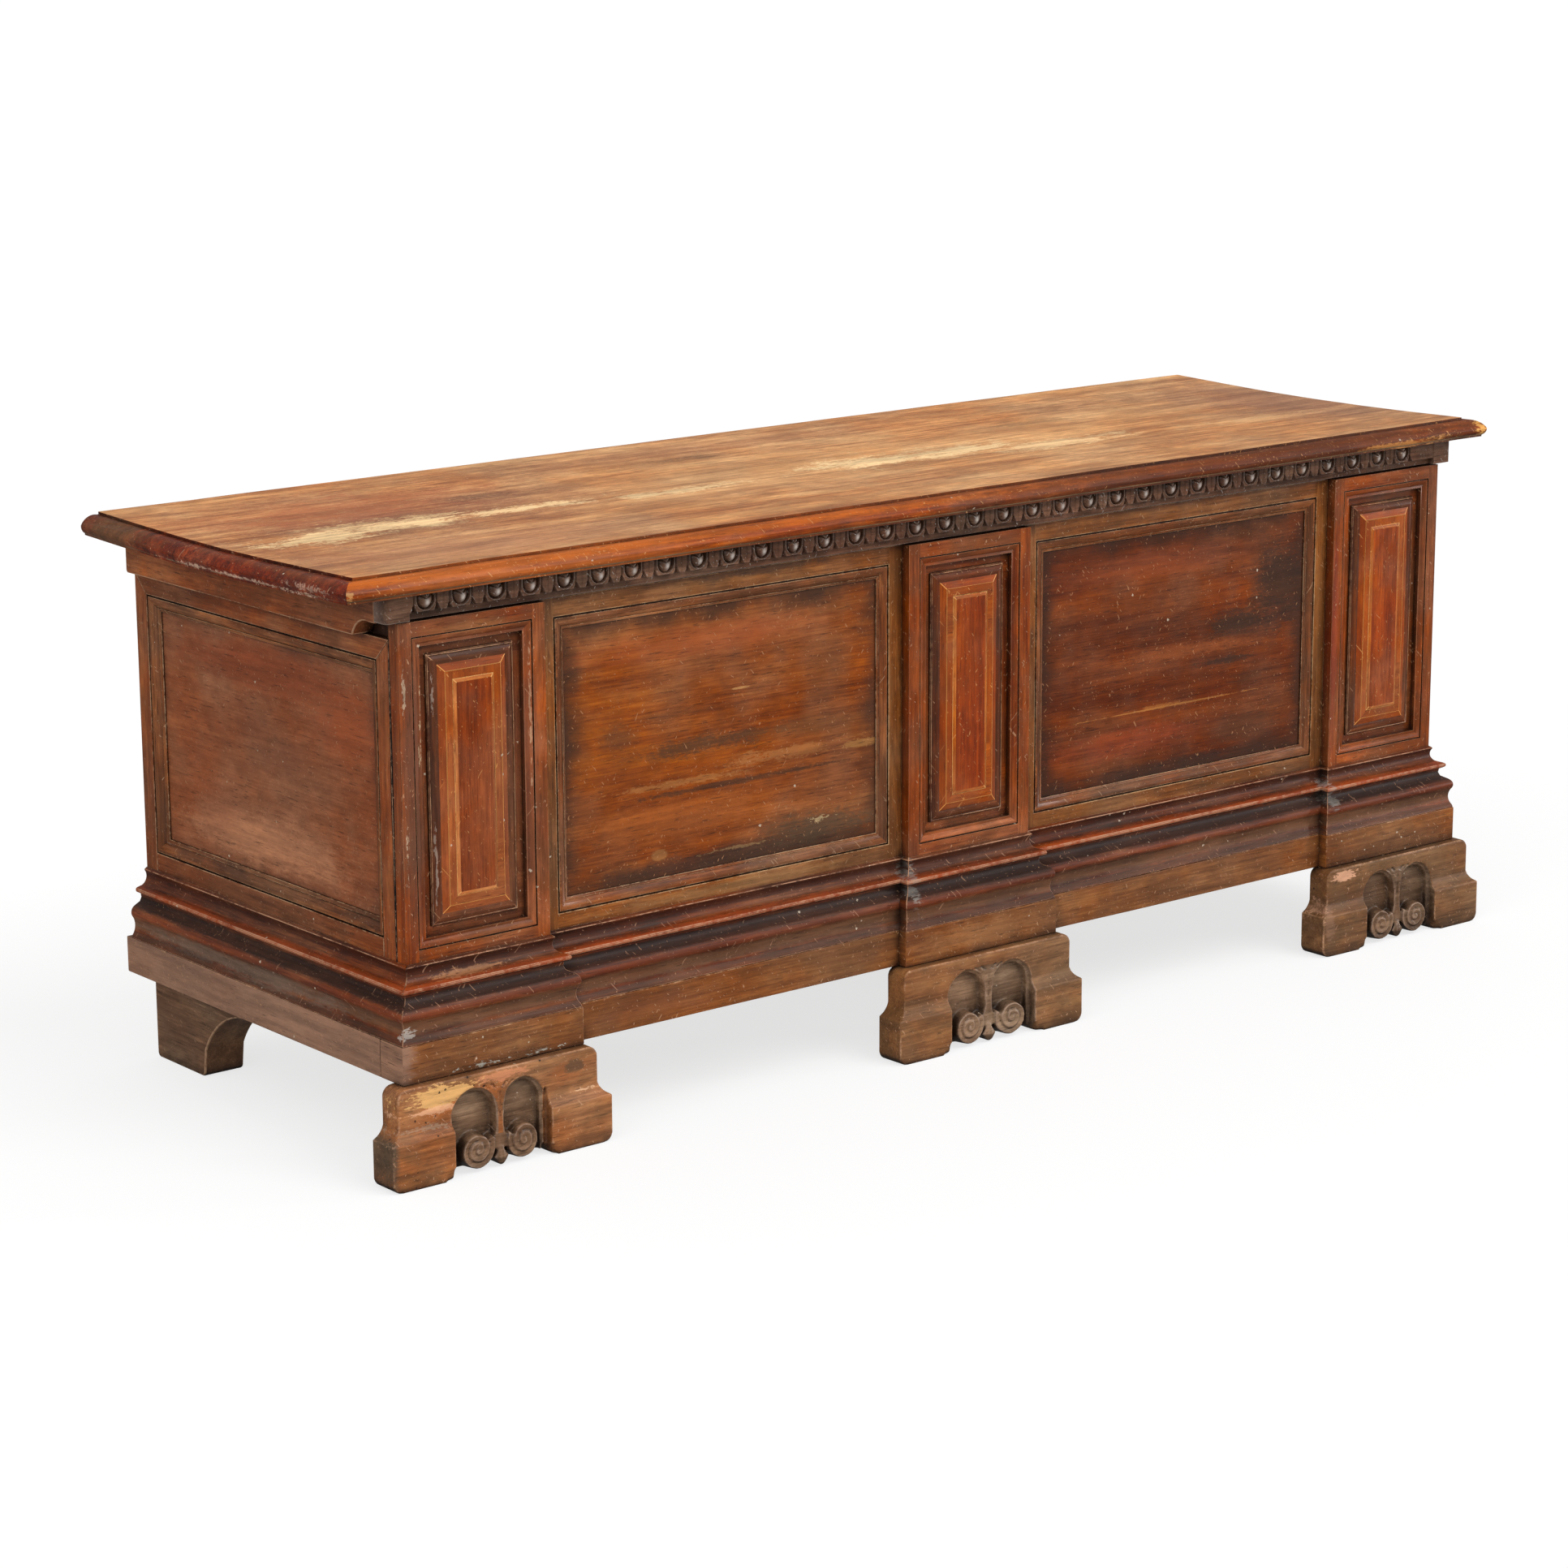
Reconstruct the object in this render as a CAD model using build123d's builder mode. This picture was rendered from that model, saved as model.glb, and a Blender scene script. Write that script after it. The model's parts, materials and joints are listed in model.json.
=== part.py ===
from build123d import *
import math
import os

# A cassone: a long walnut chest on a moulded plinth, with carved scroll feet, three
# panelled pilasters and a hinged lid that carries an egg and tongue strip.
# Millimetres. +Z is up and the front faces -Y, so +X is to the right of whoever faces it.
# The origin is on the floor, under the middle of the whole chest.

os.makedirs("parts", exist_ok=True)

# ---------------------------------------------------------------- driving dimensions
# Carcass boards
body_length = 1558.0
body_depth = 525.6
side_board_thickness = 20.0
front_board_thickness = 20.0
back_board_thickness = 20.0
bottom_board_thickness = 18.0
ledger_size = 20.0
back_board_names = ("lower", "middle", "upper")
bottom_board_names = ("front", "middle", "back")

# Heights, from the floor up
foot_height = 108.0
plinth_height = 42.0
base_moulding_height = 79.5
facing_height = 360.5
strip_gap = 2.0
strip_height = 28.0
lid_thickness = 24.0

# Facings on the front
facing_thickness = 18.0
pilaster_width = 184.0
pilaster_projection = 12.0
panel_stile_width = 20.0
panel_top_rail_height = 21.0
panel_bottom_rail_height = 16.5
panel_moulding_width = 15.0
panel_moulding_gap = 0.4

# Pilaster recess and its fielded panel
pilaster_stile_width = 16.0
pilaster_bottom_rail_height = 12.5
recess_moulding_width = 11.0
recess_floor_width = 10.0
recess_depth = 9.0
panel_fit_gap = 0.2
panel_ridge_width = 2.5
panel_ridge_height = 4.0
panel_ovolo_width = 12.0
panel_bevel_width = 8.0
inlay_width = 9.0
inlay_thickness = 2.0
inlay_setback = 0.5
field_step_width = 4.0
field_rise = 1.0

# Frames on the two ends
side_facing_thickness = 9.0
side_frame_width = 24.0
side_bottom_rail_height = 20.5
side_moulding_width = 18.0
side_moulding_gap = 0.4

# Plinth and base moulding
base_projection = 24.4
plinth_back_projection = 10.3

# Front feet, with a carved middle
foot_width = 282.0
foot_side_overhang = 27.6
foot_depth = 39.0
foot_projection = 19.6
foot_corner_radius = 11.0
foot_block_height = 52.0
foot_step_height = 14.0
foot_step_side = 13.0
foot_step_front = 8.0
foot_shoulder_radius = 12.0
carving_width = 124.0
carving_lift = 9.0
niche_width = 52.0
niche_top_height = 89.0
niche_depth = 11.0
niche_rim_width = 3.5
niche_rim_depth = 4.0
niche_sides = 20
volute_radius = 20.0
volute_sides = 20
volute_height = 29.0
volute_rise = 5.0
volute_rim_width = 2.5
volute_groove_width = 2.2
volute_groove_depth = 2.5
volute_turn_step = 5.2
volute_turn_points = 10
volute_eye_radius = 3.5
leaf_radius = 8.0
leaf_height = 15.0

# Rear feet
rear_foot_thickness = 51.0
rear_foot_length = 103.0
rear_foot_inset = 34.4
rear_foot_toe_height = 32.0
rear_foot_toe_slope = 4.0
rear_foot_curve_length = 104.0
rear_foot_curve_height = 88.0
rear_foot_corner_radius = 6.0

# Lid
lid_side_overhang = 71.0
lid_front_overhang = 16.2
lid_back_setback = 11.2
lid_cup = 5.0
lid_groove_inset = 22.5
lid_groove_depth = 3.0
lid_fillet_width = 2.0
lid_nose_drop = 13.0
lid_bottom_return = 4.5
lid_bottom_fillet = 1.8
lid_clearance = 0.8
glue_line = 0.1

# Cleats and carved strip under the lid
cleat_thickness = 25.0
cleat_height = 48.0
cleat_gap = 1.0
cleat_scoop_length = 30.0
cleat_nose_length = 12.0
cleat_corner_radius = 4.0
strip_depth = 21.0
strip_relief = 8.0
strip_ledge_height = 7.0
strip_end_block = 30.0
strip_corner_radius = 4.0
first_egg_inset = 50.0
egg_pitch = 44.1
egg_radius = 9.4
egg_shoulder_radius = 7.4
egg_crown_radius = 3.6
egg_height = 18.5
egg_shoulder_depth = 5.5
egg_crown_depth = 3.5
egg_sides = 6
socket_radius = 12.8
socket_rim_width = 2.0
socket_sides = 6
tongue_width = 11.0
tongue_rise = 2.0
tongue_sides = 4

# Hinges
hinge_inset = 259.0
hinge_width = 60.0
hinge_leaf_length = 50.0
hinge_leaf_thickness = 2.5
hinge_leaf_drop = 1.5
hinge_fit_gap = 0.3
knuckle_radius = 4.5
knuckle_sides = 16
pin_radius = 2.0
pin_fixed_clearance = 0.02
pin_running_clearance = 0.05
pin_overhang = 1.5

# ---------------------------------------------------------------- places worked out
overall_depth = foot_projection + base_projection + body_depth + plinth_back_projection
plinth_front = foot_projection - overall_depth / 2
plinth_back = overall_depth / 2
body_front = plinth_front + base_projection
body_back = body_front + body_depth
field_front = body_front + pilaster_projection
board_front = body_front + facing_thickness
board_back = board_front + front_board_thickness
back_board_front = body_back - back_board_thickness
body_half = body_length / 2
plinth_half = body_half + base_projection
board_half = body_half - side_facing_thickness
inside_half = board_half - side_board_thickness

plinth_top = foot_height + plinth_height
sill = plinth_top + base_moulding_height
facing_top = sill + facing_height
strip_bottom = facing_top + strip_gap
lid_bottom = strip_bottom + strip_height
lid_top = lid_bottom + lid_thickness
cleat_bottom = lid_bottom - cleat_height
side_frame_top = cleat_bottom - cleat_gap

lid_half = body_half + lid_side_overhang
lid_front = body_front - lid_front_overhang
lid_back = body_back - lid_back_setback
lid_middle = (lid_front + lid_back) / 2
lid_half_depth = (lid_back - lid_front) / 2
lid_curve_radius = (lid_half_depth**2 + lid_cup**2) / (2 * lid_cup)
lid_curve_centre = lid_bottom - lid_cup + lid_curve_radius

strip_back = board_front - cleat_gap
strip_front = strip_back - strip_depth
cleat_inside = board_half + cleat_gap
cleat_outside = cleat_inside + cleat_thickness

hinge_axis_y = body_back + knuckle_radius + hinge_fit_gap
hinge_axis_z = lid_bottom - hinge_leaf_drop
hinge_reach = body_half - hinge_inset


def lid_underside(y):
    """Height of the cupped lid's underside at a place along the chest's depth."""
    return lid_curve_centre - math.sqrt(lid_curve_radius**2 - (y - lid_middle) ** 2)


def write(piece, node):
    """Labels a finished piece and writes it as one STEP file."""
    piece.label = node
    export_step(piece, f"parts/{node}.step")


def block(low_x, high_x, low_y, high_y, low_z, high_z, mode=Mode.ADD):
    """Adds a square-edged board between six planes to the part being built."""
    with Locations((low_x, low_y, low_z)):
        Box(high_x - low_x, high_y - low_y, high_z - low_z, align=Align.MIN, mode=mode)


def front_plane_at(y):
    """Upright plane across the chest; extruding by a negative amount goes backwards."""
    return Plane.XZ.offset(-y)


def end_plane_at(x):
    """Upright plane along the chest's depth; extruding goes to the right."""
    return Plane.YZ.offset(x)


# ---------------------------------------------------------------- carcass
side_board_top = lid_bottom - lid_cup - lid_clearance
with BuildPart() as front_board:
    block(-inside_half, inside_half, board_front, board_back,
          foot_height, lid_underside(board_back) - lid_clearance)
write(front_board.part, "front_board")

for hand, side in ((-1, "left"), (1, "right")):
    low_x, high_x = sorted((hand * inside_half, hand * board_half))
    with BuildPart() as side_board:
        block(low_x, high_x, board_front, back_board_front, foot_height, side_board_top)
    write(side_board.part, f"side_board_{side}")

back_board_top = lid_underside(back_board_front) - lid_clearance
back_board_height = (back_board_top - foot_height) / len(back_board_names)
for row, name in enumerate(back_board_names):
    low_z = foot_height + row * back_board_height
    with BuildPart() as back_board:
        block(-board_half, board_half, back_board_front, body_back,
              low_z, low_z + back_board_height)
    write(back_board.part, f"back_board_{name}")

ledger_top = foot_height + ledger_size
for name, low_y in (("front", board_back), ("back", back_board_front - ledger_size)):
    with BuildPart() as bottom_ledger:
        block(-inside_half, inside_half, low_y, low_y + ledger_size, foot_height, ledger_top)
    write(bottom_ledger.part, f"bottom_ledger_{name}")

bottom_board_width = (back_board_front - board_back) / len(bottom_board_names)
for row, name in enumerate(bottom_board_names):
    low_y = board_back + row * bottom_board_width
    with BuildPart() as bottom_board:
        block(-inside_half, inside_half, low_y, low_y + bottom_board_width,
              ledger_top, ledger_top + bottom_board_thickness)
    write(bottom_board.part, f"bottom_board_{name}")


# ---------------------------------------------------------------- mitred rings
def ring_path(low_x, high_x, low_z, high_z, y):
    """Rectangle on an upright plane, starting in the middle of its lower edge."""
    middle = (low_x + high_x) / 2
    return Polyline(
        (middle, y, low_z),
        (high_x, y, low_z),
        (high_x, y, high_z),
        (low_x, y, high_z),
        (low_x, y, low_z),
        (middle, y, low_z),
    )


def ring_section_plane(low_x, high_x, low_z, y):
    """Section plane at the start of a ring: local x runs inwards, local y to the front."""
    origin = ((low_x + high_x) / 2, y, low_z)
    return Plane(origin=origin, x_dir=(0, 0, 1), z_dir=(1, 0, 0))


# ---------------------------------------------------------------- panels between the pilasters
field_inner = pilaster_width / 2
field_outer = body_half - pilaster_width
field_low = sill + panel_bottom_rail_height
field_high = facing_top - panel_top_rail_height
field_depth = board_front - field_front

for hand, side in ((-1, "left"), (1, "right")):
    low_x, high_x = sorted((hand * field_inner, hand * field_outer))
    with BuildPart() as panel_frame:
        block(low_x, high_x, field_front, board_front, plinth_top, facing_top)
        with BuildSketch(front_plane_at(field_front)):
            with Locations(((low_x + high_x) / 2, (field_low + field_high) / 2)):
                Rectangle(high_x - low_x - 2 * panel_stile_width, field_high - field_low)
        extrude(amount=-field_depth, mode=Mode.SUBTRACT)
    write(panel_frame.part, f"panel_frame_{side}")

    # Moulding round the panel: a quirk, an ogee and a small bead that dies on the panel.
    inner_low_x = low_x + panel_stile_width
    inner_high_x = high_x - panel_stile_width
    with BuildPart() as panel_moulding:
        with BuildLine() as path:
            ring_path(inner_low_x, inner_high_x, field_low, field_high, board_front)
        with BuildSketch(ring_section_plane(inner_low_x, inner_high_x, field_low, board_front)):
            with BuildLine():
                crest = field_depth - panel_moulding_gap
                quirk = panel_moulding_width * 0.12
                shoulder = panel_moulding_width * 0.3
                hollow = panel_moulding_width * 0.8
                Polyline((0, 0), (0, crest * 0.6), (quirk, crest * 0.6), (quirk, crest),
                         (shoulder, crest))
                ThreePointArc((shoulder, crest), (panel_moulding_width * 0.55, crest * 0.8),
                              (hollow, crest * 0.3))
                Polyline((hollow, crest * 0.3), (hollow, crest * 0.42),
                         (panel_moulding_width, crest * 0.25), (panel_moulding_width, 0), (0, 0))
            make_face()
        sweep(path=path.wire(), transition=Transition.RIGHT)
    write(panel_moulding.part, f"panel_moulding_{side}")

# ---------------------------------------------------------------- pilasters
recess_low = sill + pilaster_bottom_rail_height
recess_high = facing_top - pilaster_stile_width
recess_half = pilaster_width / 2 - pilaster_stile_width
opening_inset = recess_moulding_width + recess_floor_width
panel_edge = opening_inset + panel_fit_gap

inlay_start = panel_ovolo_width + panel_bevel_width
inlay_end = inlay_start + inlay_width
field_edge = inlay_end + field_step_width
inlay_level = facing_thickness - inlay_setback
ovolo_level = facing_thickness - recess_depth * 0.4
recess_level = facing_thickness - recess_depth
edge_quirk = recess_moulding_width * 0.14
edge_quirk_level = facing_thickness - recess_depth * 0.28
edge_crest_level = facing_thickness - recess_depth * 0.07
edge_hollow = recess_moulding_width * 0.73
edge_hollow_level = facing_thickness - recess_depth * 0.36

for centre_x, name in (
    (-body_half + pilaster_width / 2, "left"),
    (0, "centre"),
    (body_half - pilaster_width / 2, "right"),
):
    recess_left = centre_x - recess_half
    recess_right = centre_x + recess_half

    # Frame: a board cut through for its panel, with a worked edge and a sunk floor round it.
    with BuildPart() as pilaster_frame:
        block(centre_x - pilaster_width / 2, centre_x + pilaster_width / 2,
              body_front, board_front, plinth_top, facing_top)
        with BuildSketch(front_plane_at(body_front)):
            with Locations((centre_x, (recess_low + recess_high) / 2)):
                Rectangle(2 * recess_half, recess_high - recess_low)
        extrude(amount=-facing_thickness, mode=Mode.SUBTRACT)
        with BuildLine() as path:
            ring_path(recess_left, recess_right, recess_low, recess_high, board_front)
        with BuildSketch(ring_section_plane(recess_left, recess_right, recess_low, board_front)):
            with BuildLine():
                Polyline((0, 0), (0, edge_quirk_level), (edge_quirk, edge_quirk_level),
                         (edge_quirk, edge_crest_level))
                ThreePointArc((edge_quirk, edge_crest_level),
                              (recess_moulding_width * 0.45, facing_thickness - recess_depth * 0.13),
                              (edge_hollow, edge_hollow_level))
                Polyline((edge_hollow, edge_hollow_level),
                         (recess_moulding_width, edge_quirk_level),
                         (recess_moulding_width, recess_level),
                         (opening_inset, recess_level), (opening_inset, 0), (0, 0))
            make_face()
        sweep(path=path.wire(), transition=Transition.RIGHT)
    write(pilaster_frame.part, f"pilaster_frame_{name}")

    # Fielded panel: ridge, ovolo, bevel, a rebate for the inlay, and the raised field.
    panel_left = recess_left + panel_edge
    panel_right = recess_right - panel_edge
    panel_low = recess_low + panel_edge
    panel_high = recess_high - panel_edge
    with BuildPart() as pilaster_panel:
        with BuildLine() as path:
            ring_path(panel_left, panel_right, panel_low, panel_high, board_front)
        with BuildSketch(ring_section_plane(panel_left, panel_right, panel_low, board_front)):
            with BuildLine():
                ridge_foot = (panel_ridge_width, recess_level + panel_ridge_height * 0.75)
                Polyline((0, 0), (0, recess_level + panel_ridge_height * 0.6),
                         (panel_ridge_width * 0.6, recess_level + panel_ridge_height), ridge_foot)
                ThreePointArc(ridge_foot, (panel_ovolo_width * 0.5, ovolo_level),
                              (panel_ovolo_width, ovolo_level))
                Polyline((panel_ovolo_width, ovolo_level), (inlay_start, inlay_level),
                         (inlay_start, inlay_level - inlay_thickness),
                         (inlay_end, inlay_level - inlay_thickness), (inlay_end, inlay_level),
                         (field_edge, facing_thickness + field_rise), (field_edge, 0), (0, 0))
            make_face()
        sweep(path=path.wire(), transition=Transition.RIGHT)
        block(panel_left + field_edge, panel_right - field_edge,
              body_front - field_rise, board_front,
              panel_low + field_edge, panel_high - field_edge)
    write(pilaster_panel.part, f"pilaster_panel_{name}")

    # Inlay: a light band let into the panel, mitred at its corners.
    band_left = panel_left + inlay_start
    band_right = panel_right - inlay_start
    band_low = panel_low + inlay_start
    band_high = panel_high - inlay_start
    band_back = board_front - inlay_level + inlay_thickness
    with BuildPart() as pilaster_inlay:
        with BuildLine() as path:
            ring_path(band_left, band_right, band_low, band_high, band_back)
        with BuildSketch(ring_section_plane(band_left, band_right, band_low, band_back)):
            with BuildLine():
                Polyline((0, 0), (0, inlay_thickness), (inlay_width, inlay_thickness),
                         (inlay_width, 0), close=True)
            make_face()
        sweep(path=path.wire(), transition=Transition.RIGHT)
    write(pilaster_inlay.part, f"pilaster_inlay_{name}")

# ---------------------------------------------------------------- frames on the ends
side_stile_back = body_back - side_frame_width
side_stile_front = board_front + side_frame_width
side_panel_low = sill + side_bottom_rail_height
side_panel_high = side_frame_top - side_frame_width

for hand, side in ((-1, "left"), (1, "right")):
    low_x, high_x = sorted((hand * board_half, hand * body_half))
    inner_face = end_plane_at(low_x)

    with BuildPart() as side_top_rail:
        with BuildSketch(inner_face):
            Polygon((board_front, side_frame_top), (side_stile_front, side_panel_high),
                    (side_stile_back, side_panel_high), (body_back, side_frame_top), align=None)
        extrude(amount=side_facing_thickness)
    write(side_top_rail.part, f"side_top_rail_{side}")

    with BuildPart() as side_front_stile:
        with BuildSketch(inner_face):
            Polygon((board_front, plinth_top), (side_stile_front, plinth_top),
                    (side_stile_front, side_panel_high), (board_front, side_frame_top), align=None)
        extrude(amount=side_facing_thickness)
    write(side_front_stile.part, f"side_front_stile_{side}")

    with BuildPart() as side_rear_stile:
        with BuildSketch(inner_face):
            Polygon((body_back, plinth_top), (side_stile_back, plinth_top),
                    (side_stile_back, side_panel_high), (body_back, side_frame_top), align=None)
        extrude(amount=side_facing_thickness)
    write(side_rear_stile.part, f"side_rear_stile_{side}")

    with BuildPart() as side_bottom_rail:
        block(low_x, high_x, side_stile_front, side_stile_back, plinth_top, side_panel_low)
    write(side_bottom_rail.part, f"side_bottom_rail_{side}")

    # Moulding inside the frame, seated on the side board.
    seat = hand * board_half
    middle_y = (side_stile_front + side_stile_back) / 2
    with BuildPart() as side_moulding:
        with BuildLine() as path:
            Polyline((seat, middle_y, side_panel_low), (seat, side_stile_back, side_panel_low),
                     (seat, side_stile_back, side_panel_high),
                     (seat, side_stile_front, side_panel_high),
                     (seat, side_stile_front, side_panel_low), (seat, middle_y, side_panel_low))
        section_plane = Plane(origin=(seat, middle_y, side_panel_low),
                              x_dir=(0, 0, 1), z_dir=(0, hand, 0))
        with BuildSketch(section_plane):
            with BuildLine():
                crest = side_facing_thickness - side_moulding_gap
                quirk = side_moulding_width * 0.1
                shoulder = side_moulding_width * 0.28
                hollow = side_moulding_width * 0.78
                Polyline((0, 0), (0, crest * 0.7), (quirk, crest * 0.7), (quirk, crest),
                         (shoulder, crest))
                ThreePointArc((shoulder, crest), (side_moulding_width * 0.55, crest * 0.8),
                              (hollow, crest * 0.3))
                Polyline((hollow, crest * 0.3), (hollow, crest * 0.42),
                         (side_moulding_width, crest * 0.2), (side_moulding_width, 0), (0, 0))
            make_face()
        sweep(path=path.wire(), transition=Transition.RIGHT)
    write(side_moulding.part, f"side_moulding_{side}")

# ---------------------------------------------------------------- base moulding
# The section is drawn with its distance out from the body face and its height over the plinth.
moulding_points = {
    "top": (0, base_moulding_height),
    "lip": (base_projection * 0.15, base_moulding_height - 2.5),
    "lip_under": (base_projection * 0.14, base_moulding_height - 4),
    "cavetto": (base_projection * 0.07, base_moulding_height * 0.84),
    "cavetto_end": (base_projection * 0.32, base_moulding_height * 0.745),
    "bead_top": (base_projection * 0.57, base_moulding_height * 0.725),
    "bead_crown": (base_projection * 0.64, base_moulding_height * 0.712),
    "bead": (base_projection * 0.66, base_moulding_height * 0.69),
    "bead_foot": (base_projection * 0.64, base_moulding_height * 0.664),
    "bead_under": (base_projection * 0.57, base_moulding_height * 0.65),
    "neck_top": (base_projection * 0.41, base_moulding_height * 0.625),
    "neck": (base_projection * 0.38, base_moulding_height * 0.57),
    "neck_end": (base_projection * 0.46, base_moulding_height * 0.515),
    "nose_top": (base_projection * 0.76, base_moulding_height * 0.465),
    "nose": (base_projection * 0.94, base_moulding_height * 0.385),
    "nose_under": (base_projection * 0.86, base_moulding_height * 0.295),
    "cove": (base_projection * 0.77, base_moulding_height * 0.19),
    "cove_end": (base_projection * 0.92, base_moulding_height * 0.04),
    "foot": (base_projection * 0.96, 0),
    "back": (0, 0),
}


def moulding_outline():
    """Draws the base moulding's closed section in the line builder that calls it."""
    at = moulding_points
    Polyline(at["top"], at["lip"], at["lip_under"])
    ThreePointArc(at["lip_under"], at["cavetto"], at["cavetto_end"])
    Polyline(at["cavetto_end"], at["bead_top"], at["bead_crown"], at["bead"], at["bead_foot"],
             at["bead_under"], at["neck_top"], at["neck"], at["neck_end"], at["nose_top"])
    ThreePointArc(at["nose_top"], at["nose"], at["nose_under"])
    ThreePointArc(at["nose_under"], at["cove"], at["cove_end"])
    Polyline(at["cove_end"], at["foot"], at["back"], at["top"])


def mitre_plane(hand):
    """Upright plane through a front corner, facing the side run of the mitre."""
    return Plane(origin=(hand * body_half, body_front, 0), x_dir=(0, 0, 1), z_dir=(hand, 1, 0))


# The front run breaks forward round each pilaster; its ends pass the corners and are mitred.
end_x = body_half + 2 * base_projection
break_outer = body_half - pilaster_width
break_inner = pilaster_width / 2
with BuildPart() as base_moulding_front:
    with BuildLine() as path:
        Polyline((-end_x, body_front, plinth_top), (-break_outer, body_front, plinth_top),
                 (-break_outer, field_front, plinth_top), (-break_inner, field_front, plinth_top),
                 (-break_inner, body_front, plinth_top), (break_inner, body_front, plinth_top),
                 (break_inner, field_front, plinth_top), (break_outer, field_front, plinth_top),
                 (break_outer, body_front, plinth_top), (end_x, body_front, plinth_top))
    with BuildSketch(Plane(origin=(-end_x, body_front, plinth_top),
                           x_dir=(0, -1, 0), z_dir=(-1, 0, 0))):
        with BuildLine():
            moulding_outline()
        make_face()
    sweep(path=path.wire(), transition=Transition.RIGHT)
    split(bisect_by=mitre_plane(-1), keep=Keep.BOTTOM)
    split(bisect_by=mitre_plane(1), keep=Keep.BOTTOM)
write(base_moulding_front.part, "base_moulding_front")

for hand, side in ((-1, "left"), (1, "right")):
    with BuildPart() as base_moulding_side:
        with BuildSketch(Plane(origin=(hand * body_half, body_back, plinth_top),
                               x_dir=(hand, 0, 0), z_dir=(0, -hand, 0))):
            with BuildLine():
                moulding_outline()
            make_face()
        extrude(amount=hand * (body_depth + 2 * base_projection))
        split(bisect_by=mitre_plane(hand), keep=Keep.TOP)
    write(base_moulding_side.part, f"base_moulding_{side}")

# ---------------------------------------------------------------- plinth
with BuildPart() as plinth_front_board:
    block(-plinth_half, plinth_half, plinth_front + pilaster_projection, board_front,
          foot_height, plinth_top)
    block(-plinth_half, -break_outer + base_projection, plinth_front, board_front,
          foot_height, plinth_top)
    block(-break_inner - base_projection, break_inner + base_projection,
          plinth_front, board_front, foot_height, plinth_top)
    block(break_outer - base_projection, plinth_half, plinth_front, board_front,
          foot_height, plinth_top)
write(plinth_front_board.part, "plinth_front")

for hand, side in ((-1, "left"), (1, "right")):
    low_x, high_x = sorted((hand * board_half, hand * plinth_half))
    with BuildPart() as plinth_side:
        block(low_x, high_x, board_front, plinth_back, foot_height, plinth_top)
    write(plinth_side.part, f"plinth_{side}")

with BuildPart() as plinth_back_board:
    block(-board_half, board_half, body_back, plinth_back, foot_height, plinth_top)
write(plinth_back_board.part, "plinth_back")

# ---------------------------------------------------------------- front feet
foot_front = plinth_front - foot_projection
foot_back = foot_front + foot_depth
foot_face = foot_front + foot_step_front
foot_half = foot_width / 2
foot_waist = foot_half - foot_step_side
foot_step_top = foot_block_height + foot_step_height
foot_spacing = plinth_half + foot_side_overhang - foot_half
volute_front = foot_face - volute_rise
niche_radius = niche_width / 2
niche_centre = (carving_width / 2 - niche_rim_width) - niche_radius
niche_floor = foot_face + niche_depth
arch_height = niche_top_height - niche_radius


def foot_outline(centre_x):
    """Half of the foot's front outline: block, hollowed step, waist and rounded shoulder."""
    corner = foot_corner_radius
    round_off = foot_shoulder_radius
    middle_x = centre_x + foot_half - foot_step_side * 0.62
    middle_z = foot_block_height + foot_step_height * 0.38
    diagonal = 1 - math.sqrt(0.5)
    Line((centre_x, 0), (centre_x + foot_half - corner, 0))
    ThreePointArc((centre_x + foot_half - corner, 0),
                  (centre_x + foot_half - corner * diagonal, corner * diagonal),
                  (centre_x + foot_half, corner))
    Line((centre_x + foot_half, corner), (centre_x + foot_half, foot_block_height))
    ThreePointArc((centre_x + foot_half, foot_block_height), (middle_x, middle_z),
                  (centre_x + foot_waist, foot_step_top))
    Line((centre_x + foot_waist, foot_step_top), (centre_x + foot_waist, foot_height - round_off))
    ThreePointArc((centre_x + foot_waist, foot_height - round_off),
                  (centre_x + foot_waist - round_off * diagonal,
                   foot_height - round_off * diagonal),
                  (centre_x + foot_waist - round_off, foot_height))
    Polyline((centre_x + foot_waist - round_off, foot_height), (centre_x, foot_height),
             (centre_x, 0))


def volute_groove(centre_x):
    """Spiral groove: its outer edge winds in towards the eye and its inner edge winds back."""
    groove_start = volute_radius - volute_rim_width
    winding = groove_start - volute_eye_radius - 2 * volute_groove_width
    outer_edge = []
    inner_edge = []
    for point in range(int(volute_turn_points * winding / volute_turn_step) + 1):
        turn = point / volute_turn_points
        across = math.cos(2 * math.pi * turn)
        up = math.sin(2 * math.pi * turn)
        outer = groove_start - volute_turn_step * turn
        inner = outer - volute_groove_width
        outer_edge.append((centre_x + outer * across, volute_height + outer * up))
        inner_edge.append((centre_x + inner * across, volute_height + inner * up))
    Polyline(*outer_edge, *reversed(inner_edge), close=True)


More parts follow.
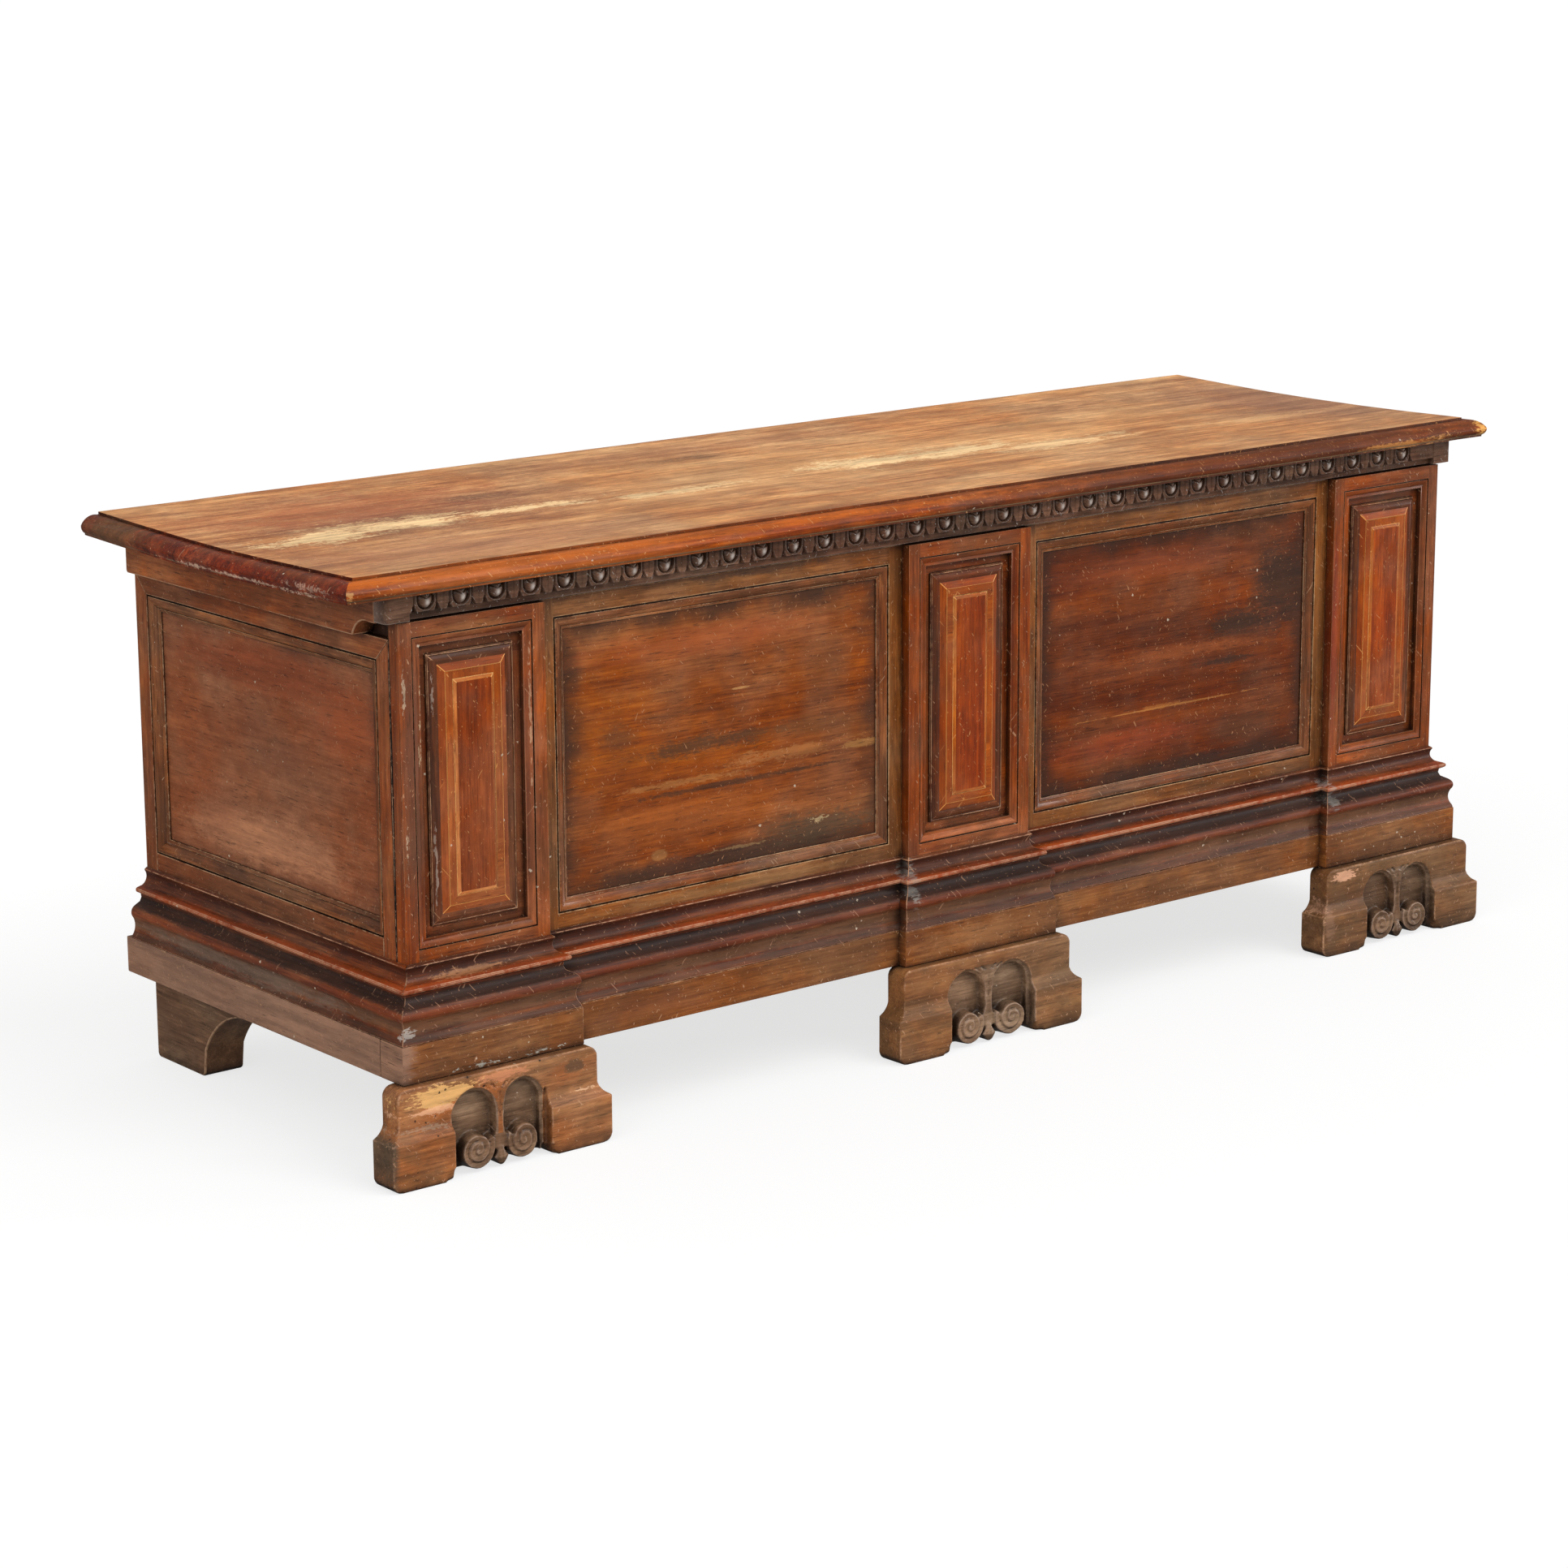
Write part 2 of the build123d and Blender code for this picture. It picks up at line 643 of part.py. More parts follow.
for centre_x, name in ((-foot_spacing, "left"), (0, "centre"), (foot_spacing, "right")):
    niche_x = centre_x + niche_centre
    with BuildPart() as front_foot:
        # Half of the stepped block, shaped by its front outline and by its end outline.
        with BuildSketch(front_plane_at(foot_front)):
            with BuildLine():
                foot_outline(centre_x)
            make_face()
        extrude(amount=-foot_depth)
        with BuildSketch(end_plane_at(centre_x)):
            with BuildLine():
                Line((foot_back, 0), (foot_front, 0))
                Line((foot_front, 0), (foot_front, foot_block_height))
                ThreePointArc((foot_front, foot_block_height),
                              (foot_front + foot_step_front * 0.62,
                               foot_block_height + foot_step_height * 0.38),
                              (foot_face, foot_step_top))
                Polyline((foot_face, foot_step_top), (foot_face, foot_height),
                         (foot_back, foot_height), (foot_back, 0))
            make_face()
        extrude(amount=foot_half, mode=Mode.INTERSECT)

        # The carved middle stands back to the upper face and clears the floor.
        with BuildSketch(front_plane_at(foot_front)):
            with Locations((centre_x + carving_width / 4, (foot_step_top - 1) / 2)):
                Rectangle(carving_width / 2, foot_step_top + 1)
        extrude(amount=-foot_step_front, mode=Mode.SUBTRACT)
        with BuildSketch(front_plane_at(foot_front)):
            with Locations((centre_x + carving_width / 4, (carving_lift - 1) / 2)):
                Rectangle(carving_width / 2, carving_lift + 1)
        extrude(amount=-foot_depth, mode=Mode.SUBTRACT)

        # Arched niche with a sunk rim.
        for radius, depth in (
            (niche_radius + niche_rim_width, niche_rim_depth),
            (niche_radius, niche_depth),
        ):
            with BuildSketch(front_plane_at(foot_face)):
                with Locations((niche_x, arch_height)):
                    RegularPolygon(radius, niche_sides)
                with Locations((niche_x, arch_height / 2)):
                    Rectangle(2 * radius, arch_height)
            extrude(amount=-depth, mode=Mode.SUBTRACT)

        # Scroll at the niche's foot, with a spiral groove and an eye.
        with BuildSketch(front_plane_at(volute_front)):
            with Locations((niche_x, volute_height)):
                RegularPolygon(volute_radius, volute_sides)
        extrude(amount=-(niche_floor - volute_front))
        with BuildSketch(front_plane_at(volute_front)):
            with BuildLine():
                volute_groove(niche_x)
            make_face()
        extrude(amount=-volute_groove_depth, mode=Mode.SUBTRACT)
        with BuildSketch(front_plane_at(volute_front)):
            with Locations((niche_x, volute_height)):
                RegularPolygon(volute_eye_radius, volute_turn_points)
        extrude(amount=-volute_groove_depth, mode=Mode.SUBTRACT)

        # Leaf drop on the stem between the two scrolls.
        with BuildSketch(front_plane_at(foot_face - foot_step_front / 2)):
            with BuildLine():
                Line((centre_x, leaf_height - leaf_radius), (centre_x, arch_height))
                Line((centre_x, arch_height), (centre_x + leaf_radius, leaf_height))
                RadiusArc((centre_x + leaf_radius, leaf_height),
                          (centre_x, leaf_height - leaf_radius), leaf_radius)
            make_face()
        extrude(amount=-(niche_floor - foot_face + foot_step_front / 2))
        mirror(about=end_plane_at(centre_x))
    write(front_foot.part, f"front_foot_{name}")

# ---------------------------------------------------------------- rear feet
rear_outside = plinth_half - rear_foot_inset
rear_inside = rear_outside - rear_foot_thickness
rear_front = plinth_back - rear_foot_length
for hand, side in ((-1, "left"), (1, "right")):
    with BuildPart() as rear_foot:
        with BuildSketch(end_plane_at(min(hand * rear_inside, hand * rear_outside))):
            with BuildLine():
                curve_top = (rear_front - rear_foot_curve_length, rear_foot_curve_height)
                curve_foot = (rear_front - rear_foot_toe_slope, rear_foot_toe_height)
                Line((rear_front, 0), curve_foot)
                ThreePointArc(curve_foot, (rear_front - rear_foot_curve_length * 0.3,
                                           rear_foot_curve_height * 0.74), curve_top)
                Polyline(curve_top, (rear_front - rear_foot_curve_length, foot_height),
                         (plinth_back, foot_height), (plinth_back, 0), (rear_front, 0))
            make_face()
        extrude(amount=rear_foot_thickness)
        bottom_ends = rear_foot.edges().filter_by(Axis.X).group_by(Axis.Z)[0]
        fillet(bottom_ends, rear_foot_corner_radius)
    write(rear_foot.part, f"rear_foot_{side}")


# ---------------------------------------------------------------- lid
def lid_edge_outline(edge, inward, top, bottom):
    """Moulded edge from the groove down to the underside, at an edge that faces outwards."""
    groove = edge + inward * lid_groove_inset
    ledge = groove - inward * lid_fillet_width
    floor = top - lid_groove_depth
    nose = (edge, top - lid_nose_drop)
    under = (edge + inward * lid_bottom_return, bottom + lid_bottom_fillet)
    Polyline((groove, top), (groove, floor), (ledge, floor))
    ThreePointArc((ledge, floor), (edge + inward * lid_groove_inset * 0.27,
                                   floor - (floor - nose[1]) * 0.3), nose)
    ThreePointArc(nose, (edge + inward * lid_bottom_return * 0.3,
                         bottom + (nose[1] - bottom) * 0.45), under)
    Line(under, (under[0], bottom))


# The board is cupped: its cross section along the chest turns about a far axis above it.
# The front edge comes from a second outline, so the two mouldings mitre at the corners.
lid_sweep = math.degrees(math.asin(lid_half_depth / lid_curve_radius)) + 0.1
curve_axis = Axis((0, lid_middle, lid_curve_centre), (1, 0, 0))
front_top = lid_top - lid_cup + (
    lid_underside(lid_front + lid_groove_inset) - lid_underside(lid_middle)
)
with BuildPart() as lid_board:
    with BuildSketch(front_plane_at(lid_middle)):
        with BuildLine():
            low = lid_bottom - lid_cup
            high = lid_top - lid_cup
            lid_edge_outline(-lid_half, 1, high, low)
            lid_edge_outline(lid_half, -1, high, low)
            Line((-lid_half + lid_groove_inset, high), (lid_half - lid_groove_inset, high))
            Line((-lid_half + lid_bottom_return, low), (lid_half - lid_bottom_return, low))
        make_face()
    revolve(axis=curve_axis, revolution_arc=lid_sweep)
    mirror(about=Plane.XZ.offset(-lid_middle))
    with BuildSketch(end_plane_at(-lid_half)):
        with BuildLine():
            lid_edge_outline(lid_front, 1, front_top, lid_bottom)
            Polyline((lid_front + lid_groove_inset, front_top),
                     (lid_front + lid_groove_inset, lid_top + lid_thickness),
                     (lid_back, lid_top + lid_thickness), (lid_back, lid_bottom - lid_thickness),
                     (lid_front + lid_bottom_return, lid_bottom - lid_thickness),
                     (lid_front + lid_bottom_return, lid_bottom))
        make_face()
    extrude(amount=2 * lid_half, mode=Mode.INTERSECT)
    for hinge_x in (-hinge_reach, hinge_reach):
        block(hinge_x - hinge_width / 2 - hinge_fit_gap, hinge_x + hinge_width / 2 + hinge_fit_gap,
              hinge_axis_y - hinge_leaf_length - hinge_fit_gap, lid_back,
              lid_bottom - lid_cup, lid_bottom + hinge_leaf_thickness, mode=Mode.SUBTRACT)
write(lid_board.part, "lid_board")

# ---------------------------------------------------------------- cleats under the lid's ends
nose_bottom = strip_bottom - strip_gap
nose_end = strip_back + cleat_nose_length
scoop_end = nose_end + cleat_scoop_length


def glued_top(y):
    """Height of a piece that is glued under the lid, at a place along the depth."""
    return lid_underside(y) - glue_line


for hand, side in ((-1, "left"), (1, "right")):
    with BuildPart() as lid_cleat:
        with BuildSketch(end_plane_at(min(hand * cleat_inside, hand * cleat_outside))):
            with BuildLine():
                rear = lid_back - glue_line
                middle_y = (strip_back + rear) / 2
                scoop_middle = (scoop_end - cleat_scoop_length * 0.29,
                                cleat_bottom + (nose_bottom - cleat_bottom) * 0.71)
                ThreePointArc((strip_back, glued_top(strip_back)),
                              (middle_y, glued_top(middle_y)), (rear, glued_top(rear)))
                Polyline((rear, glued_top(rear)), (rear, cleat_bottom), (scoop_end, cleat_bottom))
                ThreePointArc((scoop_end, cleat_bottom), scoop_middle, (nose_end, nose_bottom))
                Polyline((nose_end, nose_bottom), (strip_back, nose_bottom),
                         (strip_back, glued_top(strip_back)))
            make_face()
        extrude(amount=cleat_thickness)
        rear_corner = lid_cleat.edges().filter_by(Axis.X).group_by(Axis.Z)[0].sort_by(Axis.Y)[-1]
        fillet(rear_corner, cleat_corner_radius)
    write(lid_cleat.part, f"lid_cleat_{side}")

# ---------------------------------------------------------------- egg and tongue strip
strip_half = cleat_outside
strip_left = -strip_half
relief_back = strip_front + strip_relief
relief_top = glued_top(strip_back)
rim_radius = socket_radius + socket_rim_width
rim_bottom = strip_bottom + strip_ledge_height
rim_centre = rim_bottom + rim_radius
egg_run = 2 * strip_half - first_egg_inset - strip_end_block - (egg_pitch + tongue_width) / 2
egg_count = int(egg_run / egg_pitch) + 1
egg_places = [strip_left + first_egg_inset + egg * egg_pitch for egg in range(egg_count)]
tongue_places = [x + egg_pitch / 2 for x in egg_places]
tongue_centre = rim_bottom + tongue_rise + tongue_width / 2
last_tongue_end = tongue_places[-1] + tongue_width / 2


def hanging_tongues(places, radius, centre_z, sides):
    """Draws shapes with square tops at the lid and facetted lower ends, one at each place."""
    for x in places:
        with Locations((x, centre_z)):
            RegularPolygon(radius, sides)
        with Locations((x, (centre_z + relief_top) / 2)):
            Rectangle(2 * radius, relief_top - centre_z)
    with Locations((0, relief_top + radius)):
        Rectangle(2 * strip_half, 2 * radius, mode=Mode.SUBTRACT)


def egg_sections(radius):
    """Draws one facetted section through every egg."""
    with Locations([(x, strip_bottom + egg_height) for x in egg_places]):
        RegularPolygon(radius, egg_sides)


def egg_taper(wide_radius, narrow_radius, depth):
    """Slope in degrees that closes the egg's facets from one radius to the next."""
    return math.degrees(math.atan2((wide_radius - narrow_radius) * math.cos(math.pi / egg_sides),
                                   depth))


with BuildPart() as lid_front_strip:
    # Ground of the strip, which also makes the plain ledge under the carving.
    block(strip_left, strip_half, relief_back, strip_back, strip_bottom, relief_top)

    # Plain blocks with rounded corners close the ends.
    block(strip_left, strip_left + strip_end_block, strip_front, relief_back,
          strip_bottom, relief_top)
    block(strip_half - strip_end_block, strip_half, strip_front, relief_back,
          strip_bottom, relief_top)
    upright_edges = lid_front_strip.edges().filter_by(Axis.Z).group_by(Axis.Y)[0].sort_by(Axis.X)
    fillet((upright_edges[0], upright_edges[-1]), strip_corner_radius)

    # Socket rims and tongues stand out of the ground, the last tongue as wide as is left.
    with BuildSketch(front_plane_at(relief_back)):
        hanging_tongues(egg_places, rim_radius, rim_centre, socket_sides)
        hanging_tongues(tongue_places, tongue_width / 2, tongue_centre, tongue_sides)
    extrude(amount=strip_relief)
    block(last_tongue_end, strip_half - strip_end_block, strip_front, relief_back,
          rim_bottom + tongue_rise, relief_top)

    # Each socket is sunk to the ground and holds an egg.
    with BuildSketch(front_plane_at(strip_front)):
        hanging_tongues(egg_places, socket_radius, rim_centre, socket_sides)
    extrude(amount=-strip_relief, mode=Mode.SUBTRACT)
    with BuildSketch(front_plane_at(relief_back)):
        egg_sections(egg_radius)
    extrude(amount=egg_shoulder_depth,
            taper=egg_taper(egg_radius, egg_shoulder_radius, egg_shoulder_depth))
    with BuildSketch(front_plane_at(relief_back - egg_shoulder_depth)):
        egg_sections(egg_shoulder_radius)
    extrude(amount=egg_crown_depth,
            taper=egg_taper(egg_shoulder_radius, egg_crown_radius, egg_crown_depth))
write(lid_front_strip.part, "lid_front_strip")

# ---------------------------------------------------------------- hinges
knuckle_length = hinge_width / 3
knuckle_gap = hinge_fit_gap / 2
notch_depth = knuckle_radius + hinge_fit_gap
leaf_low_y = hinge_axis_y - hinge_leaf_length


def barrel(low_x, high_x, radius, mode=Mode.ADD):
    """Adds a round bar on the hinge axis between two places along the chest."""
    with Locations(Plane(origin=(low_x, hinge_axis_y, hinge_axis_z), z_dir=(1, 0, 0))):
        Cylinder(radius, high_x - low_x, mode=mode,
                 align=(Align.CENTER, Align.CENTER, Align.MIN))


def knuckle_section():
    """Draws the section of a forged knuckle round the hinge axis."""
    with Locations((hinge_axis_y, hinge_axis_z)):
        RegularPolygon(knuckle_radius, knuckle_sides)


for hinge_x, side in ((-hinge_reach, "left"), (hinge_reach, "right")):
    low_x = hinge_x - hinge_width / 2
    high_x = hinge_x + hinge_width / 2
    middle_low = hinge_x - knuckle_length / 2
    middle_high = hinge_x + knuckle_length / 2

    # Each leaf is notched where the other leaf's knuckles turn.
    with BuildPart() as hinge_body_leaf:
        block(low_x, high_x, body_back, body_back + hinge_leaf_thickness,
              hinge_axis_z - hinge_leaf_length, hinge_axis_z)
        block(middle_low - knuckle_gap, middle_high + knuckle_gap,
              body_back, body_back + hinge_leaf_thickness,
              hinge_axis_z - notch_depth, hinge_axis_z, mode=Mode.SUBTRACT)
        for start_x in (low_x, middle_high + knuckle_gap):
            with BuildSketch(end_plane_at(start_x)):
                knuckle_section()
            extrude(amount=knuckle_length - knuckle_gap)
        barrel(low_x, high_x, pin_radius + pin_fixed_clearance, mode=Mode.SUBTRACT)
    write(hinge_body_leaf.part, f"hinge_body_leaf_{side}")

    with BuildPart() as hinge_lid_leaf:
        block(low_x, high_x, leaf_low_y, hinge_axis_y,
              lid_bottom, lid_bottom + hinge_leaf_thickness)
        for start_x, end_x in ((low_x, middle_low + knuckle_gap),
                               (middle_high - knuckle_gap, high_x)):
            block(start_x, end_x, hinge_axis_y - notch_depth, hinge_axis_y,
                  lid_bottom, lid_bottom + hinge_leaf_thickness, mode=Mode.SUBTRACT)
        with BuildSketch(end_plane_at(middle_low + knuckle_gap)):
            knuckle_section()
        extrude(amount=knuckle_length - 2 * knuckle_gap)
        barrel(low_x, high_x, pin_radius + pin_running_clearance, mode=Mode.SUBTRACT)
    write(hinge_lid_leaf.part, f"hinge_lid_leaf_{side}")

    with BuildPart() as hinge_pin:
        barrel(low_x - pin_overhang, high_x + pin_overhang, pin_radius)
    write(hinge_pin.part, f"hinge_pin_{side}")
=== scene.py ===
"""A walnut cassone: a cupped and worn lid, a carved strip, a panelled front and scrolled feet."""

import functools
import json
import logging
import math
import random
from dataclasses import dataclass, field, replace
from enum import Enum
from typing import Callable, Optional, Sequence, Union

import bmesh
import bpy
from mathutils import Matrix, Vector, noise

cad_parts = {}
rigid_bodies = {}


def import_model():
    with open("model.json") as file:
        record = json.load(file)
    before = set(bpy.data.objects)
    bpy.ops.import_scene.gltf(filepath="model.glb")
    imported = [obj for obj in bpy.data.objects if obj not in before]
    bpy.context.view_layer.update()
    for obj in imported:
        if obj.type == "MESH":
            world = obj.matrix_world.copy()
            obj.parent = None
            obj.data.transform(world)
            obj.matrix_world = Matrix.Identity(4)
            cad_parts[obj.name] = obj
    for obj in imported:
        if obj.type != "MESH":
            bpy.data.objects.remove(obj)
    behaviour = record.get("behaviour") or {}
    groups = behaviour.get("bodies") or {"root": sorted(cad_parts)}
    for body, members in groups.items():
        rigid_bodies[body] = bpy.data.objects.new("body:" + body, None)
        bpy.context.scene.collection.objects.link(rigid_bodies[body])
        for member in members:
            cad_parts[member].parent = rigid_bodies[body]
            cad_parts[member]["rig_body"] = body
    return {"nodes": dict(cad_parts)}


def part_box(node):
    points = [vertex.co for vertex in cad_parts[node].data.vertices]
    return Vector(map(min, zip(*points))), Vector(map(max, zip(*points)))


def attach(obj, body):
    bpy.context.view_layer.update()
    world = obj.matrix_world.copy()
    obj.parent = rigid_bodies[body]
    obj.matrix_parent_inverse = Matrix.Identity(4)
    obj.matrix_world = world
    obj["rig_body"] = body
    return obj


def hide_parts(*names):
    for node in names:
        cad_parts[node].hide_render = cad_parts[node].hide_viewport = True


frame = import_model()

MM = 0.001
NOISE_SEED = 7
Colour = tuple[int, int, int]
Place = tuple[float, float, float]
Socket = bpy.types.NodeSocket
Tree = bpy.types.NodeTree
log = logging.getLogger("cassone")


def linear(colour: Colour) -> tuple[float, float, float, float]:
    """Turns a colour written from 0 to 255 into the linear light that a shader expects.

    Args:
        colour: Red, green and blue, each from 0 to 255.

    Returns:
        The same colour in linear light, with an alpha of 1.
    """
    levels = [level / 255 for level in colour]
    red, green, blue = (
        level / 12.92 if level <= 0.04045 else ((level + 0.055) / 1.055) ** 2.4
        for level in levels
    )
    return red, green, blue, 1.0


def smooth_step(value: float, low: float, high: float) -> float:
    """Eases from 0 at low to 1 at high."""
    share = min(max((value - low) / (high - low), 0.0), 1.0)
    return share * share * (3 - 2 * share)


def add_object(name: str, data: bpy.types.ID) -> bpy.types.Object:
    """Puts a mesh, lamp or camera into the scene.

    Args:
        name: The object's name.
        data: What it shows.

    Returns:
        The object.
    """
    made = bpy.data.objects.new(name, data)
    bpy.context.scene.collection.objects.link(made)
    return made


def write_mesh(name: str, mesh: bmesh.types.BMesh) -> bpy.types.Mesh:
    """Writes a mesh that was being worked on as mesh data.

    Args:
        name: The data's name.
        mesh: The mesh, which is freed.

    Returns:
        The mesh data.
    """
    data = bpy.data.meshes.new(name)
    mesh.to_mesh(data)
    mesh.free()
    return data


def cut_mesh(mesh: bmesh.types.BMesh, place: Vector, normal: Vector,
             clear_outer: bool = False) -> list[bmesh.types.BMEdge]:
    """Cuts a mesh by a plane.

    Args:
        mesh: The mesh.
        place: A point on the plane.
        normal: Which way the plane looks.
        clear_outer: Whether what lies beyond the plane is taken away.

    Returns:
        The edges that lie on the cut.
    """
    everything = mesh.verts[:] + mesh.edges[:] + mesh.faces[:]
    cut = bmesh.ops.bisect_plane(mesh, geom=everything, dist=1e-6, plane_co=place,
                                 plane_no=normal, clear_outer=clear_outer)["geom_cut"]
    return [item for item in cut if isinstance(item, bmesh.types.BMEdge)]


def close_back(mesh: bmesh.types.BMesh, depth: float) -> None:
    """Closes a carved sheet into a block.

    Args:
        mesh: The sheet.
        depth: Where the block's flat back lies along y.
    """
    rim = [edge for edge in mesh.edges if edge.is_boundary]
    grown = bmesh.ops.extrude_edge_only(mesh, edges=rim)["geom"]
    for vertex in (item for item in grown if isinstance(item, bmesh.types.BMVert)):
        vertex.co.y = depth
    bmesh.ops.contextual_create(
        mesh, geom=[item for item in grown if isinstance(item, bmesh.types.BMEdge)])
    bmesh.ops.recalc_face_normals(mesh, faces=mesh.faces)


# ---------------------------------------------------------------- shader graphs
class Graph:
    """Adds shader nodes to one node tree and joins their sockets."""

    def __init__(self, tree: Tree) -> None:
        """Keeps the tree that the nodes are added to."""
        self.tree = tree

    def feed(self, socket: Socket, value: object) -> None:
        """Joins a socket to another, or writes a constant on it."""
        if isinstance(value, bpy.types.NodeSocket):
            self.tree.links.new(value, socket)
        else:
            socket.default_value = value

    def add(self, kind: str, inputs: Optional[dict[Union[int, str], object]] = None,
            **settings: object) -> bpy.types.Node:
        """Adds a node.

        Args:
            kind: The node's type, without the word ShaderNode.
            inputs: A socket or constant for each input, by its name or number.
            **settings: Properties to set on the node.

        Returns:
            The new node.
        """
        node = self.tree.nodes.new("ShaderNode" + kind)
        for name, value in settings.items():
            setattr(node, name, value)
        for key, value in (inputs or {}).items():
            self.feed(node.inputs[key], value)
        return node

    def math(self, operation: str, *values: object, clamp: bool = False) -> Socket:
        """Adds a Math node.

        Args:
            operation: The operation's name.
            *values: Sockets or numbers for its inputs, in order.
            clamp: Whether the result stays between 0 and 1.

        Returns:
            The node's result.
        """
        node = self.add("Math", dict(enumerate(values)), operation=operation, use_clamp=clamp)
        return node.outputs[0]

    def times(self, value: object, factor: object) -> Socket:
        """Multiplies two numbers."""
        return self.math("MULTIPLY", value, factor)

    def times_plus(self, value: object, factor: object, offset: object) -> Socket:
        """Multiplies a number by a factor and adds an offset."""
        return self.math("MULTIPLY_ADD", value, factor, offset)

    def vector(self, operation: str, first: object, second: object = None,
               scale: object = None) -> Socket:
        """Adds a Vector Math node.

        Args:
            operation: The operation's name.
            first: The first vector.
            second: The second vector, where the operation takes one.
            scale: The factor, where the operation takes one.

        Returns:
            The node's vector, or its number where the operation measures a length.
        """
        given = {0: first, 1: second, "Scale": scale}
        used = {key: value for key, value in given.items() if value is not None}
        node = self.add("VectorMath", used, operation=operation)
        return node.outputs["Value" if operation == "LENGTH" else "Vector"]

    def stretch(self, vector: object, amount: Place) -> Socket:
        """Multiplies a vector by one factor for each axis."""
        return self.vector("MULTIPLY", vector, amount)

    def parts(self, vector: object) -> bpy.types.NodeOutputs:
        """Splits a vector into its X, Y and Z."""
        return self.add("SeparateXYZ", {0: vector}).outputs

    def attribute(self, name: str, output: str = "Fac") -> Socket:
        """Reads an attribute that the mesh carries."""
        return self.add("Attribute", attribute_name=name).outputs[output]

    def span(self, value: object, low: float, high: float,
             to_low: float = 0.0, to_high: float = 1.0) -> Socket:
        """Eases a value from one range to another, held at both ends.

        Args:
            value: The number to map.
            low: Where the input range starts.
            high: Where the input range ends.
            to_low: The result at low.
            to_high: The result at high.

        Returns:
            The mapped number.
        """
        node = self.add("MapRange", {"Value": value, "From Min": low, "From Max": high,
                                     "To Min": to_low, "To Max": to_high},
                        interpolation_type="SMOOTHSTEP")
        return node.outputs["Result"]

    def noise(self, vector: object, scale: object, detail: float = 3.0,
              roughness: float = 0.55, distortion: float = 0.0, output: str = "Fac") -> Socket:
        """Adds a Noise Texture node.

        Args:
            vector: Where the noise is read.
            scale: Waves in a metre.
            detail: How many finer layers it has.
            roughness: How strong the finer layers are.
            distortion: How far it is bent by itself.
            output: Fac for a number or Color for three.

        Returns:
            The noise.
        """
        node = self.add("TexNoise", {"Vector": vector, "Scale": scale, "Detail": detail,
                                     "Roughness": roughness, "Distortion": distortion})
        return node.outputs[output]

    def streaks(self, vector: object, stretch: float, scale: float, detail: float = 3.0,
                roughness: float = 0.55, distortion: float = 0.0) -> Socket:
        """Adds noise that is drawn out along the first axis.

        Args:
            vector: Where the noise is read.
            stretch: The share of its waves that is left along the first axis.
            scale: Waves in a metre across that axis.
            detail: How many finer layers it has.
            roughness: How strong the finer layers are.
            distortion: How far it is bent by itself.

        Returns:
            The noise as a number.
        """
        drawn = self.stretch(vector, (stretch, 1.0, 1.0))
        return self.noise(drawn, scale, detail, roughness, distortion)

    def mix(self, share: object, low: object, high: object) -> Socket:
        """Mixes two colours.

        Args:
            share: How much of the second colour is taken.
            low: The first colour.
            high: The second colour.

        Returns:
            The mixed colour.
        """
        node = self.add("Mix", {0: share, 6: low, 7: high}, data_type="RGBA")
        return node.outputs[2]

    def lay(self, colour: Socket, mask: object, strength: float, over: Colour) -> Socket:
        """Lays a second colour over a first, as strongly as a mask says."""
        return self.mix(self.times(mask, strength), colour, linear(over))

    def bump(self, height: Socket, strength: float, distance: float) -> Socket:
        """Turns a height into a normal."""
        return self.add("Bump", {"Strength": strength, "Distance": distance,
                                 "Height": height}).outputs["Normal"]

    def group(self, tree: Tree, **inputs: object) -> bpy.types.NodeOutputs:
        """Places a node group, feeds its inputs and gives its outputs."""
        return self.add("Group", inputs, node_tree=tree).outputs

    def end(self, kind: str, surface: Socket) -> None:
        """Joins the last shader to the tree's output, OutputMaterial or OutputWorld."""
        self.add(kind, {"Surface": surface})


Recipe = Callable[..., Sequence[Socket]]


def effect(name: str, vectors: Sequence[str], numbers: Sequence[str],
           outputs: Sequence[str] = ("Mask",)) -> Callable[[Recipe], Callable[[], Tree]]:
    """Makes a recipe a shader node group that is built once and shared by the finishes.

    Args:
        name: The group's name.
        vectors: Its vector inputs.
        numbers: Its number inputs, which follow the vectors.
        outputs: Its outputs, each a number.

    Returns:
        What turns the recipe into a function that gives the group.
    """
    def share(recipe: Recipe) -> Callable[[], Tree]:
        """Wraps a recipe, so that its group is made when a finish first asks for it."""
        @functools.cache
        def shared_group() -> Tree:
            """Builds the group with its named sockets and follows the recipe inside it."""
            tree = bpy.data.node_groups.new(name, "ShaderNodeTree")
            sockets = [(socket, "INPUT", "NodeSocketVector") for socket in vectors]
            sockets += [(socket, "INPUT", "NodeSocketFloat") for socket in numbers]
            sockets += [(socket, "OUTPUT", "NodeSocketFloat") for socket in outputs]
            for socket, way, kind in sockets:
                tree.interface.new_socket(socket, in_out=way, socket_type=kind)
            given = tree.nodes.new("NodeGroupInput").outputs[:len(vectors) + len(numbers)]
            results = recipe(Graph(tree), *given)
            for socket, result in zip(tree.nodes.new("NodeGroupOutput").inputs, results):
                tree.links.new(result, socket)
            return tree

        return shared_group

    return share


